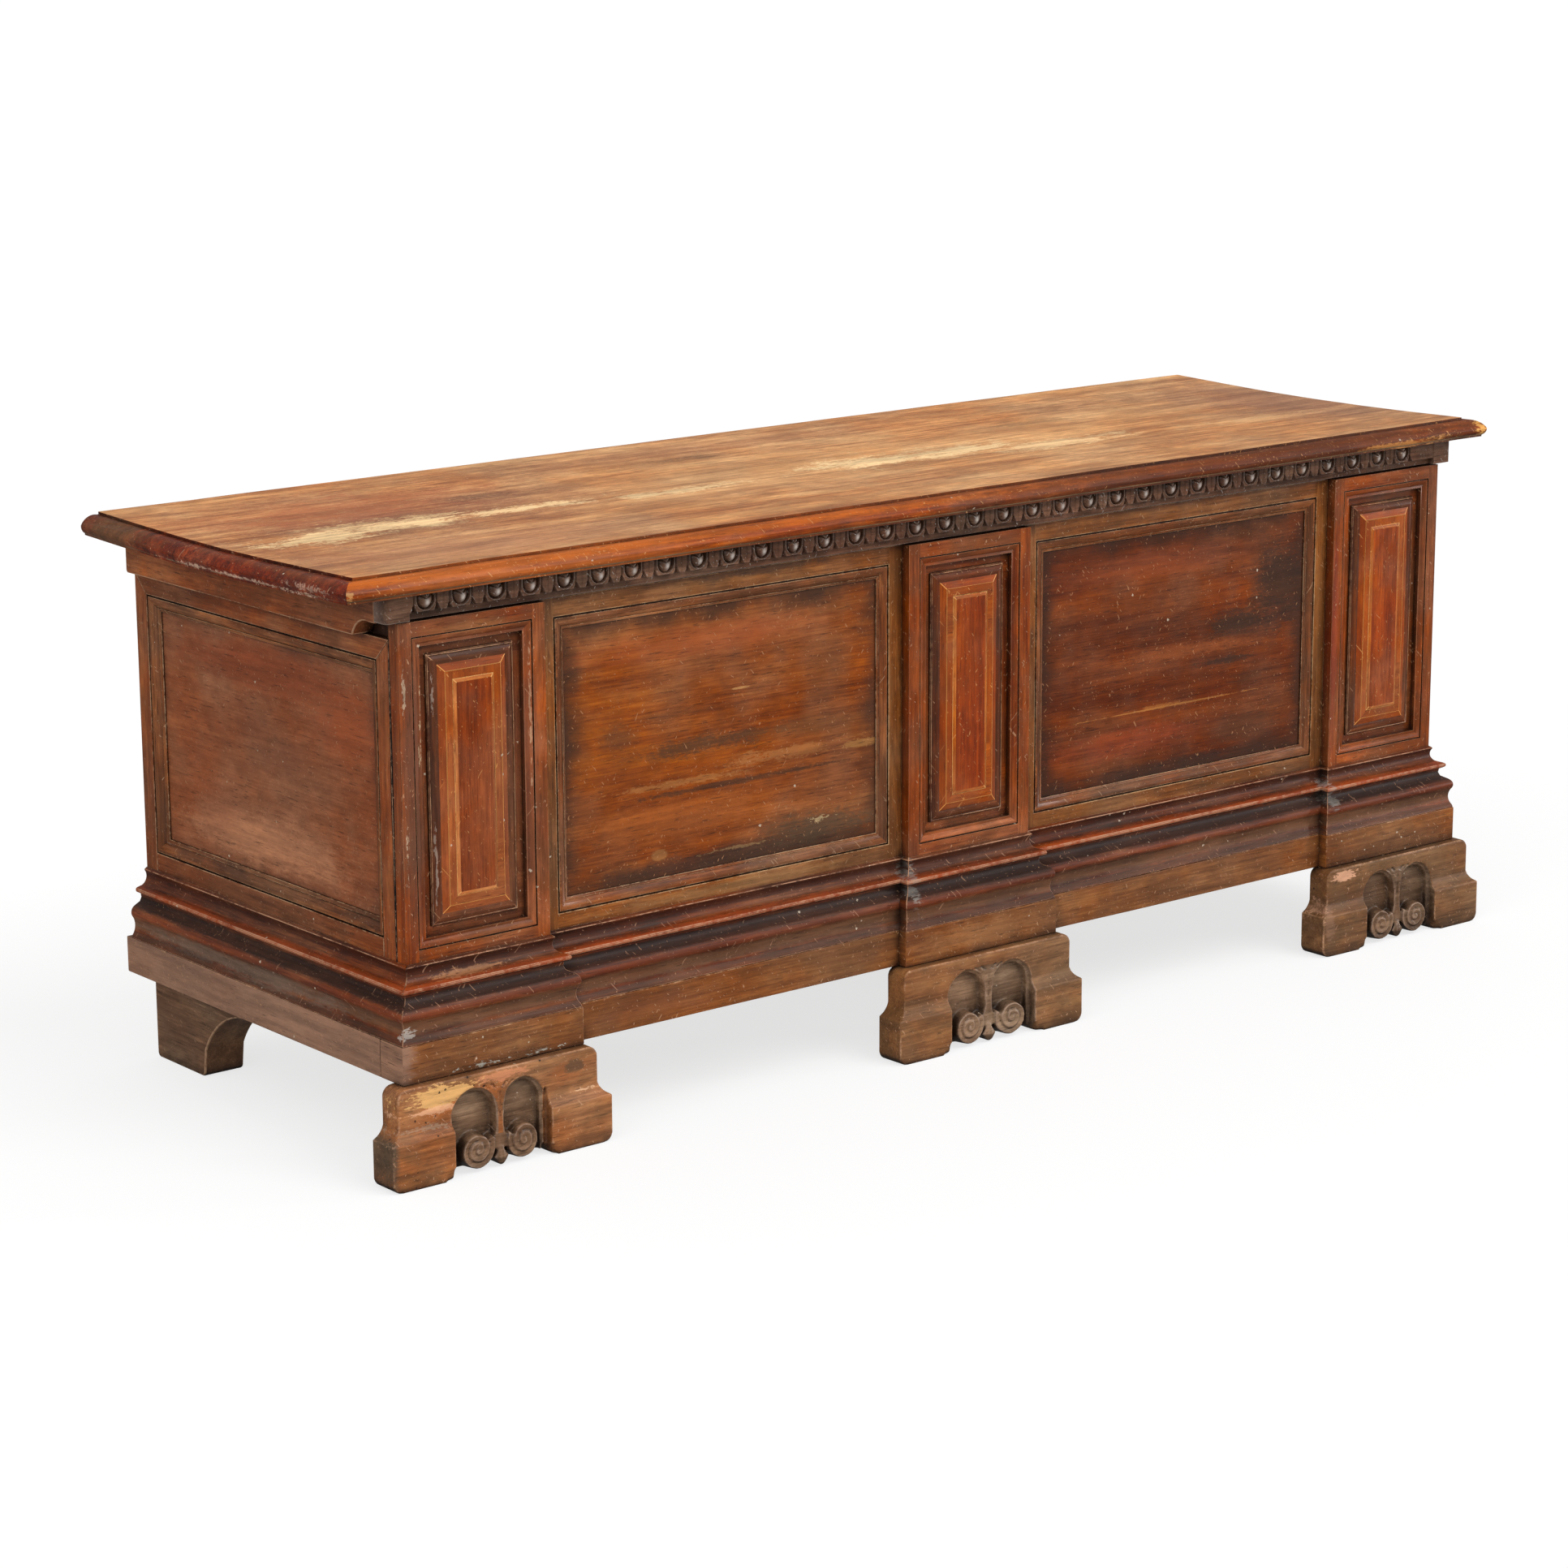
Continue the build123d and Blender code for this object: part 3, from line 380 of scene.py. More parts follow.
@effect("Wood grain", ["Vector"], ["Figure"], ["Tone", "Fibre", "Pores"])
def wood_grain(graph: Graph, vector: Socket, figure: Socket) -> Sequence[Socket]:
    """Grain of a board.

    Args:
        graph: The group's graph.
        vector: Where the grain is read, the first coordinate running along it.
        figure: Waves of the broad figure in a metre.

    Returns:
        Tone for the broad figure, Fibre for fine streaks, Pores for dark dashes.
    """
    along = graph.stretch(vector, (0.11, 1.0, 1.0))
    bend = graph.noise(along, 6.0, 2.0, output="Color")
    bend = graph.stretch(graph.vector("SUBTRACT", bend, (0.5, 0.5, 0.5)), (0.0, 0.04, 0.04))
    bent = graph.vector("ADD", along, bend)
    broad = graph.noise(bent, figure, 4.0, 0.6, 0.3)
    rings = graph.add("TexWave", {"Vector": bent, "Scale": 8.0, "Distortion": 8.0,
                                  "Detail": 3.0, "Detail Scale": 1.6},
                      wave_type="BANDS", bands_direction="DIAGONAL").outputs["Fac"]
    tone = graph.times_plus(graph.span(broad, 0.3, 0.7), 0.5, graph.times(rings, 0.14))
    fine = graph.span(graph.streaks(bent, 0.45, 150.0, 4.0, 0.65), 0.3, 0.7)
    tone = graph.times_plus(fine, 0.36, tone)
    fibre = graph.span(graph.streaks(vector, 0.04, 480.0, 3.0, 0.6), 0.28, 0.72)
    pores = graph.span(graph.streaks(vector, 0.08, 620.0, 1.0), 0.64, 0.74)
    return tone, fibre, pores


@effect("Rubbed edge", ["Vector"], ["Edge", "Amount"])
def rubbed_edge(graph: Graph, vector: Socket, edge: Socket, amount: Socket) -> Sequence[Socket]:
    """Arrises rubbed bare, in broken stretches.

    Args:
        graph: The group's graph.
        vector: Where the wear is read.
        edge: 1 on an arris.
        amount: How much of it is rubbed.

    Returns:
        A mask that is 1 where the polish is gone.
    """
    coarse = graph.noise(vector, 11.0, 2.0)
    fine = graph.noise(vector, 130.0, 3.0, 0.7)
    patchy = graph.times_plus(fine, 0.55, graph.times(coarse, 0.45))
    reach = graph.times_plus(amount, 0.4, patchy)
    return [graph.times(edge, graph.span(reach, 0.58, 0.78))]


@effect("Polish and painted shade border", ["Vector", "Centre", "Reach"], ["Width"])
def polish_and_shade_border(graph: Graph, vector: Socket, centre: Socket, reach: Socket,
                width: Socket) -> Sequence[Socket]:
    """Darkening along the sides of a rectangle: old polish, and painted shade where the frame
    shelters the panel.

    Args:
        graph: The group's graph.
        vector: Where the border is read.
        centre: The rectangle's middle.
        reach: Half its size.
        width: How far the darkening comes in from its sides.

    Returns:
        A mask that fades from 1 at the rectangle's sides to 0 inside it.
    """
    offset = graph.vector("ABSOLUTE", graph.vector("SUBTRACT", vector, centre))
    inside = graph.parts(graph.vector("SUBTRACT", reach, offset))
    nearest = graph.math("MINIMUM", inside["X"],
                         graph.math("MINIMUM", inside["Y"], inside["Z"]))
    drift = graph.times_plus(graph.noise(vector, 16.0, 4.0, 0.6), 2.4, -1.2)
    away = graph.math("ADD", graph.math("DIVIDE", nearest, width), drift)
    return [graph.span(away, -0.2, 1.2, 1.0, 0.0)]


@effect("Worn patch", ["Vector", "Grain", "Centre", "Reach"], ["Ragged", "Softness"])
def worn_patch(graph: Graph, vector: Socket, grain: Socket, centre: Socket, reach: Socket,
               ragged: Socket, softness: Socket) -> Sequence[Socket]:
    """A ragged patch that follows the grain.

    Args:
        graph: The group's graph.
        vector: Where the patch is read.
        grain: The same place along and across the grain.
        centre: The patch's middle.
        reach: Half its size.
        ragged: How broken its outline is.
        softness: How gently it fades.

    Returns:
        A mask that is 1 in the heart of the patch.
    """
    offset = graph.vector("SUBTRACT", vector, centre)
    radius = graph.vector("LENGTH", graph.vector("DIVIDE", offset, reach))
    broken = graph.times_plus(graph.streaks(grain, 0.12, 190.0, 6.0, 0.7), 1.5, -0.75)
    clouds = graph.times_plus(graph.noise(vector, 22.0, 4.0, 0.6), 1.2, -0.6)
    flakes = graph.times_plus(graph.streaks(grain, 0.4, 420.0, 3.0, 0.7), 1.2, -0.6)
    broken = graph.math("ADD", graph.math("ADD", broken, clouds), flakes)
    broken = graph.math("SUBTRACT", broken, 0.3)
    depth = graph.times_plus(broken, ragged, graph.math("SUBTRACT", 1.3, radius))
    share = graph.math("DIVIDE", depth, softness, clamp=True)
    return [graph.span(share, 0.0, 1.0)]


@effect("Specks", ["Vector"], ["Scale", "Amount"])
def specks(graph: Graph, vector: Socket, scale: Socket, amount: Socket) -> Sequence[Socket]:
    """Small flecks and wormholes scattered in loose clusters over a surface.

    Args:
        graph: The group's graph.
        vector: Where the specks are read.
        scale: How many could lie along a metre.
        amount: The share of them that does.

    Returns:
        A mask that is 1 on a fleck.
    """
    bend = graph.noise(vector, 500.0, 3.0, 0.7, output="Color")
    bent = graph.vector("ADD", vector, graph.stretch(bend, (0.005, 0.004, 0.003)))
    cells = graph.add("TexVoronoi", {"Vector": bent, "Scale": scale}, feature="F1").outputs
    chance = graph.parts(cells["Color"])
    cluster = graph.span(graph.noise(vector, 7.0, 2.0), 0.45, 0.7, 0.05, 3.0)
    picked = graph.math("LESS_THAN", chance["X"], graph.times(amount, cluster))
    size = graph.times_plus(graph.math("POWER", chance["Y"], 4.0), 0.18, 0.05)
    return [graph.times(picked, graph.math("LESS_THAN", cells["Distance"], size))]


@effect("Scratches", ["Vector"], ["Amount"])
def scratches(graph: Graph, vector: Socket, amount: Socket) -> Sequence[Socket]:
    """Short straight scratches in three directions.

    Args:
        graph: The group's graph.
        vector: Where the scratches are read.
        amount: How many there are.

    Returns:
        A mask that is 1 along a scratch.
    """
    lines = []
    for turn in ((0.3, 0.9, 0.5), (1.1, -0.8, -0.6), (-0.7, 0.35, 1.3)):
        turned = graph.add("VectorRotate", {"Vector": vector, "Rotation": turn},
                           rotation_type="EULER_XYZ").outputs[0]
        cluster = graph.noise(graph.vector("ADD", vector, turn), 6.0, 1.0)
        height = graph.times_plus(amount, graph.span(cluster, 0.45, 0.7, 0.0, 0.2),
                                  graph.streaks(turned, 0.03, 520.0, 0.0))
        lines.append(graph.span(height, 0.80, 0.84))
    return [functools.reduce(functools.partial(graph.math, "MAXIMUM"), lines)]


@effect("Grime and painted shade", ["Vector"], ["Openness", "Amount"])
def grime_and_shade(graph: Graph, vector: Socket, openness: Socket,
                   amount: Socket) -> Sequence[Socket]:
    """Dark wax and dust where a surface is sheltered, and painted shade there, found by ambient
    occlusion.

    Args:
        graph: The group's graph.
        vector: Where the grime is read.
        openness: How open the place is, from 0 to 1.
        amount: How much grime and painted shade there is.

    Returns:
        A mask that is 1 in the deepest corners.
    """
    shelter = graph.math("SUBTRACT", 1.0, openness)
    cloud = graph.times_plus(graph.noise(vector, 60.0, 3.0, 0.6), 1.4, 0.5)
    return [graph.times(graph.span(graph.times(shelter, cloud), 0.08, 0.75), amount)]


# ---------------------------------------------------------------- finishes
PORE_SHADE = 0.45
HOLLOW_SHADE = 0.6
FLECK_SHADE = 0.75
HOLE_SHADE = 0.85
SCRATCH_SHADE = 0.5
SHELTER_DISTANCE = 22 * MM
FLECKS_TO_A_METRE = 120.0
HOLES_TO_A_METRE = 140.0
WOOD_RELIEF_DEPTH = 0.6 * MM
IRON_RELIEF_DEPTH = 0.8 * MM


def start_material(name: str) -> tuple[bpy.types.Material, Graph]:
    """Starts a material with an empty shader graph.

    Args:
        name: The material's name.

    Returns:
        The material and its graph.
    """
    material = bpy.data.materials.new(name)
    material.use_nodes = True
    material.node_tree.nodes.clear()
    return material, Graph(material.node_tree)


@dataclass(frozen=True)
class Patch:
    """A place where the polish is worn, stained or filled; some patches paint light or shade."""

    centre: Place
    half_size: Place
    colour: Colour
    strength: float = 1.0
    ragged: float = 0.8
    softness: float = 0.7


@dataclass(frozen=True)
class PolishAndShadeBorder:
    """Darkening along a rectangle's sides, old polish and painted shade by the frame; a large half
    size leaves an axis out.
    """

    centre: Place
    half_size: Place
    width: float
    colour: Colour
    strength: float = 0.9


@dataclass(frozen=True)
class Wood:
    """A wood with its polish, its figure and its wear."""

    name: str
    dark: Colour
    middle: Colour
    light: Colour
    rubbed: Colour = (190, 140, 96)
    # The grime colour darkens pores, wormholes and grime, and also paints the shade in sheltered
    # places and hollows; the grime level sets the sheltered darkening.
    grime_and_shade_colour: Colour = (28, 17, 12)
    figure: float = 42.0
    roughness: float = 0.4
    edge_wear: float = 0.5
    grime_and_shade_level: float = 0.95
    patina: Colour = (70, 50, 34)
    patina_share: float = 0.35
    specks: float = 0.05
    speck_colour: Colour = (205, 188, 165)
    worm_holes: float = 0.0
    scratches: float = 0.1
    relief: float = 0.35
    patches: tuple[Patch, ...] = ()
    borders: tuple[PolishAndShadeBorder, ...] = ()

    @functools.cache
    def material(self) -> bpy.types.Material:
        """Builds the finish's material the first time that a piece asks for it.

        Returns:
            The material.
        """
        material, graph = start_material(self.name)
        place = graph.add("TexCoord").outputs["Object"]
        along = graph.attribute("grain", "Vector")
        grain = graph.group(wood_grain(), Vector=along, Figure=self.figure)
        colour = self.board_colour(graph, place, along, grain)
        colour, patched = self.add_patches(graph, colour, place, along, grain)
        colour = graph.lay(colour, grain["Pores"], PORE_SHADE, self.grime_and_shade_colour)
        colour, marks = self.add_marks(graph, colour, place)
        rough = graph.times_plus(graph.noise(place, 28.0), 0.24, self.roughness - 0.12)
        rough = graph.times_plus(patched, 0.14, rough)
        rough = graph.math("MULTIPLY_ADD", marks, 0.2, rough, clamp=True)
        shader = graph.add("BsdfPrincipled", {
            "Base Color": colour, "Roughness": rough, "Specular IOR Level": 0.35,
            "Normal": self.bumps(graph, place, grain, marks)})
        graph.end("OutputMaterial", shader.outputs["BSDF"])
        return material

    def board_colour(self, graph: Graph, place: Socket, along: Socket,
                     grain: bpy.types.NodeOutputs) -> Socket:
        """Colour of the polished board before its wear.

        Args:
            graph: The material's graph.
            place: Object coordinates.
            along: The grain's coordinates.
            grain: The outputs of the grain group.

        Returns:
            The colour.
        """
        tone = graph.times_plus(grain["Fibre"], 0.3, graph.times(grain["Tone"], 0.7))
        ramp = graph.add("ValToRGB", {0: tone})
        first, last = ramp.color_ramp.elements
        first.position, first.color = 0.18, linear(self.dark)
        last.position, last.color = 0.82, linear(self.light)
        ramp.color_ramp.elements.new(0.5).color = linear(self.middle)
        tint = graph.noise(place, 7.0, 3.0, 0.6)
        mottle = graph.streaks(along, 0.5, 75.0, 5.0, 0.7)
        toned = graph.add("HueSaturation", {
            "Hue": graph.span(tint, 0.35, 0.65, 0.496, 0.504),
            "Saturation": graph.span(tint, 0.35, 0.65, 1.05, 0.95),
            "Value": graph.times(graph.span(graph.attribute("board"), 0.0, 1.0, 0.88, 1.12),
                                 graph.span(mottle, 0.3, 0.7, 0.82, 1.18)),
            "Color": ramp.outputs["Color"]}).outputs["Color"]
        cloud = graph.span(graph.streaks(along, 0.45, 15.0, 6.0, 0.66, 0.8), 0.44, 0.62)
        return graph.lay(toned, cloud, self.patina_share, self.patina)

    def add_patches(self, graph: Graph, colour: Socket, place: Socket, along: Socket,
                    grain: bpy.types.NodeOutputs) -> tuple[Socket, Socket]:
        """Lays the dark borders, old polish with painted shade, and the worn patches over the
        board.

        Args:
            graph: The material's graph.
            colour: The colour so far.
            place: Object coordinates.
            along: The grain's coordinates.
            grain: The outputs of the grain group.

        Returns:
            The colour, and a mask of all the patches, worn places and painted light alike.
        """
        # Dark borders: old polish, with painted shade where the frame shelters the panel.
        for border in self.borders:
            mask = graph.group(polish_and_shade_border(), Vector=place, Centre=border.centre,
                               Reach=border.half_size, Width=border.width)["Mask"]
            colour = graph.lay(colour, mask, border.strength, border.colour)
        if not self.patches:
            return colour, graph.times(graph.noise(place, 5.0, 2.0), 0.2)
        fine = graph.streaks(along, 0.3, 140.0, 5.0, 0.7)
        figure = graph.times_plus(grain["Tone"], 0.5, graph.times(fine, 0.5))
        shade = graph.span(figure, 0.25, 0.75, 0.72, 1.28)
        patched: Union[Socket, float] = 0.0
        for patch in self.patches:
            mask = graph.group(worn_patch(), Vector=place, Grain=along, Centre=patch.centre,
                               Reach=patch.half_size, Ragged=patch.ragged,
                               Softness=patch.softness)["Mask"]
            mask = graph.times(mask, patch.strength)
            shaded = graph.vector("SCALE", linear(patch.colour)[:3], scale=shade)
            colour = graph.mix(mask, colour, shaded)
            patched = graph.math("MAXIMUM", patched, mask)
        return colour, patched

    def add_marks(self, graph: Graph, colour: Socket, place: Socket) -> tuple[Socket, Socket]:
        """Adds grime and painted shade in sheltered places and hollows, rubbed arrises, flecks,
        wormholes and scratches.

        Args:
            graph: The material's graph.
            colour: The colour so far.
            place: Object coordinates.

        Returns:
            The colour, and a mask of the marks that lie in the surface.
        """
        openness = graph.add("AmbientOcclusion", {"Distance": SHELTER_DISTANCE},
                             samples=4).outputs["AO"]
        # Grime, with painted shade where ambient occlusion finds shelter.
        grime_and_shade_level = graph.group(grime_and_shade(), Vector=place, Openness=openness,
                            Amount=self.grime_and_shade_level)["Mask"]
        colour = graph.mix(grime_and_shade_level, colour, linear(self.grime_and_shade_colour))
        # Painted shade in the hollows that the mesh marks.
        colour = graph.lay(colour, graph.attribute("hollow"), HOLLOW_SHADE, self.grime_and_shade_colour)
        rubbed = graph.group(rubbed_edge(), Vector=place, Edge=graph.attribute("edge"),
                             Amount=self.edge_wear)["Mask"]
        rubbed = graph.times(rubbed, graph.span(openness, 0.35, 0.6))
        colour = graph.mix(rubbed, colour, linear(self.rubbed))
        flecks = graph.group(specks(), Vector=place, Scale=FLECKS_TO_A_METRE,
                             Amount=self.specks)["Mask"]
        colour = graph.lay(colour, flecks, FLECK_SHADE, self.speck_colour)
        elsewhere = graph.vector("ADD", place, (3.0, 1.0, 2.0))
        holes = graph.group(specks(), Vector=elsewhere, Scale=HOLES_TO_A_METRE,
                            Amount=self.worm_holes)["Mask"]
        colour = graph.lay(colour, holes, HOLE_SHADE, self.grime_and_shade_colour)
        lines = graph.group(scratches(), Vector=place, Amount=self.scratches)["Mask"]
        colour = graph.lay(colour, lines, SCRATCH_SHADE, self.rubbed)
        return colour, graph.math("MAXIMUM", holes, lines)

    def bumps(self, graph: Graph, place: Socket, grain: bpy.types.NodeOutputs,
              marks: Socket) -> Socket:
        """Relief of the fibres, pores, dents and marks.

        Args:
            graph: The material's graph.
            place: Object coordinates.
            grain: The outputs of the grain group.
            marks: The mask of marks that lie in the surface.

        Returns:
            The normal for the shader.
        """
        height = graph.times(graph.noise(place, 38.0, 3.0, 0.5), 1.3)
        for mask, share in ((grain["Fibre"], 0.18), (grain["Tone"], 0.3),
                            (grain["Pores"], -0.25), (marks, -0.6)):
            height = graph.times_plus(mask, share, height)
        return graph.bump(height, self.relief, WOOD_RELIEF_DEPTH)


@dataclass(frozen=True)
class Iron:
    """Forged iron, black with brown rust."""

    name: str = "wrought iron"
    black: Colour = (58, 54, 50)
    rust: Colour = (104, 62, 40)
    bright: Colour = (120, 116, 110)
    edge_wear: float = 0.5
    roughness: float = 0.55
    relief: float = 0.5

    @functools.cache
    def material(self) -> bpy.types.Material:
        """Builds the iron's material the first time that a piece asks for it.

        Returns:
            The material.
        """
        material, graph = start_material(self.name)
        place = graph.add("TexCoord").outputs["Object"]
        rust = graph.span(graph.noise(place, 120.0, 5.0, 0.7), 0.45, 0.68)
        colour = graph.mix(rust, linear(self.black), linear(self.rust))
        rubbed = graph.group(rubbed_edge(), Vector=place, Edge=graph.attribute("edge"),
                             Amount=self.edge_wear)["Mask"]
        hammered = graph.times_plus(rust, 0.4, graph.noise(place, 90.0))
        shader = graph.add("BsdfPrincipled", {
            "Base Color": graph.mix(rubbed, colour, linear(self.bright)),
            "Metallic": graph.math("SUBTRACT", 0.85, graph.times(rust, 0.7)),
            "Roughness": graph.times_plus(rust, 0.25, self.roughness),
            "Normal": graph.bump(hammered, self.relief, IRON_RELIEF_DEPTH)})
        graph.end("OutputMaterial", shader.outputs["BSDF"])
        return material


Finish = Union[Wood, Iron]

FAR = 9.0
LID_TOP = Wood(
    "lid top walnut", dark=(164, 100, 56), middle=(216, 150, 93), light=(248, 187, 122),
    rubbed=(238, 200, 152), figure=32.0, roughness=0.42, edge_wear=0.9, grime_and_shade_level=0.6, specks=0.03,
    patina=(146, 100, 64), patina_share=0.35, scratches=0.1, relief=0.25,
    patches=(
        Patch((0.10, 0.02, 0.0), (0.80, 0.15, FAR), (236, 180, 120), 0.5, 0.8, 1.2),
        Patch((-0.58, 0.06, 0.0), (0.36, 0.20, FAR), (142, 75, 54), 0.8, 0.9, 1.0),
        Patch((-0.62, 0.14, 0.0), (0.30, 0.10, FAR), (206, 117, 62), 0.5, 0.9, 1.0),
        Patch((-0.05, 0.20, 0.0), (0.50, 0.05, FAR), (171, 108, 72), 0.5, 0.8, 1.0),
        Patch((-0.62, -0.16, 0.0), (0.30, 0.10, FAR), (179, 119, 88), 0.55, 0.6, 1.0),
        Patch((-0.78, -0.10, 0.0), (0.07, 0.12, FAR), (160, 95, 63), 0.5, 0.7, 1.0),
        # Painted grey-pink sheen at the right end of the top.
        Patch((0.78, 0.02, 0.0), (0.18, 0.26, FAR), (153, 108, 86), 0.7, 0.6, 1.0),
        Patch((-0.44, 0.10, 0.0), (0.07, 0.025, FAR), (114, 77, 54), 0.6, 1.2, 0.8),
        Patch((-0.56, 0.05, 0.0), (0.10, 0.020, FAR), (130, 89, 61), 0.5, 1.2, 0.8),
        Patch((-0.12, 0.15, 0.0), (0.11, 0.02, FAR), (121, 84, 56), 0.55, 1.2, 0.8),
        Patch((0.40, 0.10, 0.0), (0.10, 0.02, FAR), (132, 95, 65), 0.5, 1.2, 0.8),
        Patch((-0.62, 0.01, 0.0), (0.20, 0.050, FAR), (252, 210, 152), 0.65, 1.8, 0.4),
        Patch((-0.715, -0.010, 0.0), (0.085, 0.038, FAR), (255, 214, 156), 1.0, 1.6, 0.25),
        Patch((-0.60, 0.006, 0.0), (0.10, 0.024, FAR), (255, 214, 156), 0.95, 1.6, 0.25),
        Patch((-0.46, 0.006, 0.0), (0.12, 0.022, FAR), (255, 214, 156), 0.95, 1.7, 0.25),
        Patch((-0.24, -0.016, 0.0), (0.13, 0.018, FAR), (255, 214, 156), 0.85, 1.8, 0.25),
        Patch((0.12, 0.0, 0.0), (0.22, 0.050, FAR), (252, 210, 152), 0.6, 1.8, 0.4),
        Patch((0.06, 0.000, 0.0), (0.12, 0.036, FAR), (255, 214, 156), 1.0, 1.7, 0.25),
        Patch((0.20, -0.006, 0.0), (0.10, 0.026, FAR), (255, 214, 156), 0.95, 1.5, 0.25),
        Patch((0.33, -0.040, 0.0), (0.15, 0.030, FAR), (255, 214, 156), 0.7, 1.7, 0.35),
        Patch((0.64, -0.060, 0.0), (0.17, 0.026, FAR), (234, 184, 128), 0.5, 1.6, 0.5),
    ),
)
LID_NOSE = Wood(
    "lid nose walnut", dark=(90, 34, 6), middle=(152, 68, 14), light=(196, 98, 26),
    rubbed=(224, 164, 104), figure=60.0, roughness=0.32, edge_wear=0.4, specks=0.08,
    patina=(96, 39, 10), patina_share=0.45, scratches=0.25,
    patches=(
        # Painted highlight along the nose's upper round and painted shade along its lower round.
        Patch((0.0, -0.26, 0.6395), (FAR, FAR, 0.006), (200, 102, 25), 0.6, 0.5, 0.8),
        Patch((0.0, -0.26, 0.6205), (FAR, FAR, 0.006), (80, 48, 26), 0.6, 0.5, 0.8),
        Patch((0.45, -0.26, 0.63), (0.75, FAR, FAR), (86, 40, 16), 0.8, 0.7, 0.9),
        Patch((-0.62, -0.26, 0.63), (0.30, FAR, FAR), (184, 95, 28), 0.55, 0.7, 0.9),
        Patch((0.842, -0.262, 0.632), (0.012, 0.02, 0.012), (239, 174, 88), 0.8, 2.0, 0.2),
        Patch((0.70, -0.262, 0.625), (0.10, 0.03, 0.006), (222, 151, 77), 0.5, 1.8, 0.4),
        Patch((-0.845, -0.27, 0.628), (0.007, 0.02, 0.012), (230, 170, 100), 0.6, 1.8, 0.3),
    ),
)
LID_END = Wood(
    "lid end walnut", dark=(67, 21, 6), middle=(114, 41, 15), light=(152, 64, 25),
    rubbed=(216, 168, 128), figure=60.0, roughness=0.34, edge_wear=0.6, specks=0.12,
    patina=(71, 24, 9), patina_share=0.5, scratches=0.25,
    patches=(
        Patch((-0.845, 0.20, 0.63), (0.04, 0.09, 0.03), (104, 76, 48), 0.7, 0.7, 0.8),
        Patch((-0.845, -0.05, 0.638), (0.02, 0.20, 0.006), (150, 80, 36), 0.5, 0.8, 0.8),
        Patch((-0.846, -0.06, 0.6195), (0.012, 0.16, 0.003), (206, 170, 146), 0.8, 2.2, 0.15),
        Patch((-0.848, -0.19, 0.628), (0.008, 0.05, 0.004), (196, 160, 138), 0.5, 2.6, 0.3),
    ),
)
UNDERSIDE = Wood(
    "unpolished poplar", dark=(112, 84, 58), middle=(142, 112, 80), light=(164, 134, 98),
    rubbed=(184, 156, 120), figure=30.0, roughness=0.72, edge_wear=0.3, grime_and_shade_level=0.7,
    patina=(98, 76, 54), patina_share=0.5, specks=0.02, worm_holes=0.1, scratches=0.1,
)
PANEL_CENTRE_X = 0.3435
PANEL_CENTRE_Z = 0.4075
PANEL_HALF_X = 0.2165
PANEL_HALF_Z = 0.1465
PANEL = Wood(
    "front board walnut", dark=(111, 52, 17), middle=(144, 74, 26), light=(169, 96, 39),
    rubbed=(190, 134, 88), figure=26.0, roughness=0.36, specks=0.01, scratches=0.04,
    patina=(120, 63, 26), patina_share=0.28, relief=0.2,
)
PANEL_LEFT = replace(
    PANEL, name="left panel walnut",
    borders=(
        PolishAndShadeBorder((-PANEL_CENTRE_X, 0.0, PANEL_CENTRE_Z), (PANEL_HALF_X, FAR, PANEL_HALF_Z),
               0.030, (72, 44, 28), 0.95),
    ),
    patches=(
        Patch((-0.34, 0.0, 0.270), (0.22, FAR, 0.014), (68, 42, 28), 0.7, 0.8, 0.8),
        Patch((-0.36, 0.0, 0.517), (0.21, FAR, 0.024), (152, 70, 22), 0.6, 0.6, 0.9),
        Patch((-0.40, 0.0, 0.322), (0.18, FAR, 0.030), (163, 84, 22), 0.8, 0.7, 0.9),
        Patch((-0.42, 0.0, 0.440), (0.11, FAR, 0.010), (95, 55, 23), 0.4, 0.9, 1.0),
        Patch((-0.36, 0.0, 0.402), (0.13, FAR, 0.014), (76, 47, 23), 0.8, 1.1, 0.8),
        Patch((-0.49, 0.0, 0.425), (0.035, FAR, 0.018), (84, 53, 29), 0.5, 0.7, 0.9),
        Patch((-0.20, 0.0, 0.46), (0.05, FAR, 0.05), (111, 63, 27), 0.4, 0.6, 1.0),
        Patch((-0.22, 0.0, 0.400), (0.10, FAR, 0.016), (117, 69, 29), 0.5, 0.8, 0.9),
        # Painted shadow line under the pale streak.
        Patch((-0.34, 0.0, 0.352), (0.18, FAR, 0.004), (71, 40, 18), 0.75, 1.1, 0.5),
        Patch((-0.24, 0.0, 0.374), (0.12, FAR, 0.010), (161, 97, 43), 0.8, 1.4, 0.5),
        Patch((-0.40, 0.0, 0.363), (0.13, FAR, 0.006), (164, 101, 44), 0.75, 1.5, 0.5),
        Patch((-0.150, 0.0, 0.369), (0.034, FAR, 0.006), (176, 120, 59), 0.7, 0.9, 0.5),
        Patch((-0.21, 0.0, 0.284), (0.11, FAR, 0.024), (84, 61, 40), 0.85, 0.9, 0.8),
        Patch((-0.434, 0.0, 0.286), (0.010, FAR, 0.006), (151, 95, 44), 0.9, 0.3, 0.4),
        Patch((-0.32, 0.0, 0.4565), (0.012, FAR, 0.0014), (181, 128, 72), 0.8, 0.3, 0.4),
        Patch((-0.205, 0.0, 0.292), (0.022, FAR, 0.006), (181, 153, 110), 0.8, 2.2, 0.2),
        Patch((-0.33, 0.0, 0.2775), (0.05, FAR, 0.0025), (163, 124, 79), 0.6, 1.8, 0.3),
    ),
)
